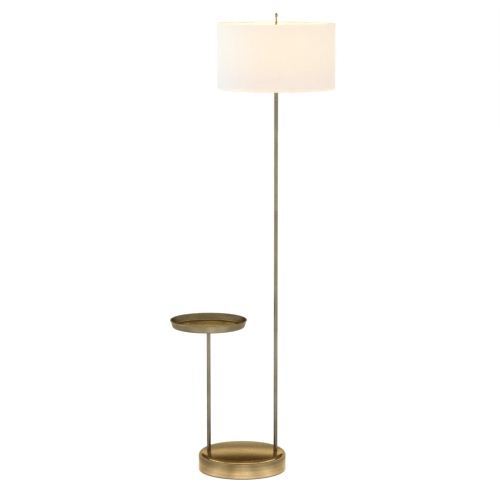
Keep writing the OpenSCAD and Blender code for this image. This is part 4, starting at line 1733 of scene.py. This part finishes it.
lights = [
    dict(
        name="overhead", kind="SUN", place=(0, -0.4, 4), target=floorMiddle, power=1.9,
        angle=math.radians(52),
    ),
    dict(
        name="frontBox", kind="AREA", place=(-0.2, -3.6, 2.9), target=baseMiddle, power=13,
        shape="RECTANGLE", size=2.4, size_y=1.3,
    ),
    dict(
        name="leftBox", kind="AREA", place=(-3.5, 0.6, 1.7), target=shadeMiddle, power=46,
        size=1.6, color=(0.04, 0.52, 1.0),
    ),
    dict(
        name="rightBox", kind="AREA", place=(3.4, -0.5, 1.7), target=shadeMiddle, power=5,
        size=1.6, color=(0.4, 0.7, 1.0),
    ),
    # wide dim panels in front and at both sides that only show in the metal
    dict(
        name="frontPanel", kind="AREA", place=(0, -3.4, 3.7), target=baseMiddle, power=68,
        metalOnly=True, shape="ELLIPSE", size=10.0, size_y=2.2, color=(1.0, 0.96, 0.86),
    ),
    *(
        dict(
            name="sidePanel", kind="AREA", place=(x, -0.6, 3.3), target=trayMiddle, power=34,
            metalOnly=True, shape="ELLIPSE", size=5.0, size_y=1.3, color=(1.0, 0.94, 0.82),
        )
        for x in (-4.2, 4.2)
    ),
    dict(
        name="bulbLight", kind="POINT", place=(lampX, 0, topOf("bulb_globe") + 0.012),
        target=lampAxis, power=0.85, color=(1.0, 0.80, 0.55), shadow_soft_size=0.03,
    ),
]
view = dict(x=0.0277, distance=6.6, height=1.764, pitch=8.44, focal=137.48, sensor=36)


def floorMaterial(name, tone, glow):
    # pale from above and clear from below, so that the underside of the lamp can be looked at
    r = Recipe(name)
    material = r.finish(
        Base_Color=(tone, tone, tone, 1),
        Roughness=0.95,
        Specular_IOR_Level=0.0,
        Emission_Color=(1, 1, 1, 1),
        Emission_Strength=glow,
    )
    below = r.add("NewGeometry").outputs["Backfacing"]
    r.pickShader(below, r.shader, r.add("BsdfTransparent"), "Material Output")
    return material


def stagePiece(bm, name, material):
    piece = inScene(name, asMesh(bm, name, material))
    return piece


def makeFloor():
    bm = bmesh.new()
    bmesh.ops.create_grid(bm, x_segments=1, y_segments=1, size=studio["floorHalf"])
    shifted(bm, (0, 0, studio["floorZ"]))
    stagePiece(bm, "floor", floorMaterial("paleFloor", studio["floorTone"], studio["floorGlow"]))


def makeFloorRing():
    # a ring on the floor that only the brass sees; it gives the base its upright bands
    near, far = studio["ringReach"]
    r = Recipe("ringTone")
    x, y = r.split(r.place())[:2]
    turn = r.sum("ABSOLUTE", r.sum("ARCTAN2", x, r.sum("MULTIPLY", y, -1.0)))
    away = r.sum("POWER", r.span(r.length(x, y), near, far, 0.0, 1.0), 0.5)
    material = r.finish(
        Base_Color=(0.02, 0.02, 0.02, 1),
        Specular_IOR_Level=0.0,
        Emission_Color=r.greys(r.sum("DIVIDE", turn, math.pi), studio["ring"]),
        Emission_Strength=r.greys(away, studio["ringFade"]),
    )
    bm = bmesh.new()
    verts = [bm.verts.new((0, -reach, studio["ringZ"])) for reach in (near, far)]
    edge = bm.edges.new(verts)
    sweep(bm, verts + [edge], 2 * math.pi, studio["ringSteps"], use_merge=True)
    ring = stagePiece(bm, "floorRing", material)
    ring.visible_camera = False
    ring.visible_diffuse = False
    ring.visible_shadow = False


def makeWorld():
    r = Recipe("studio", bpy.data.worlds, "Background")
    bpy.context.scene.world = r.owner
    height = r.split(r.add("TexCoord").outputs["Generated"])[2]
    r.finish(Color=r.ramp(height, *studio["sky"]))
    # the sky is for the brass and the cloth; behind the lamp the surround stays white
    seen = r.add("LightPath").outputs["Is Camera Ray"]
    white = r.add("Background", {"Color": (1, 1, 1, 1)})
    r.pickShader(seen, r.shader, white, "World Output")


def addLight(name, kind, place, target, power, metalOnly=False, **settings):
    light = bpy.data.lights.new(name, kind)
    light.energy = power
    for key, value in settings.items():
        setattr(light, key, value)
    lamp = inScene(name, light)
    lamp.location = place
    lamp.rotation_euler = (Vector(target) - Vector(place)).to_track_quat("-Z", "Y").to_euler()
    lamp.visible_camera = False
    lamp.visible_glossy = metalOnly
    lamp.visible_diffuse = not metalOnly


def makeCamera():
    data = bpy.data.cameras.new("camera")
    data.lens = view["focal"]
    data.sensor_width = view["sensor"]
    camera = inScene("camera", data)
    camera.location = (view["x"], -view["distance"], view["height"])
    camera.rotation_euler = (math.radians(90 - view["pitch"]), 0, 0)
    bpy.context.scene.camera = camera


makeFloor()
makeFloorRing()
makeWorld()
for light in lights:
    addLight(**light)
makeCamera()
bpy.context.scene.view_settings.view_transform = "Standard"
print("studio ready")
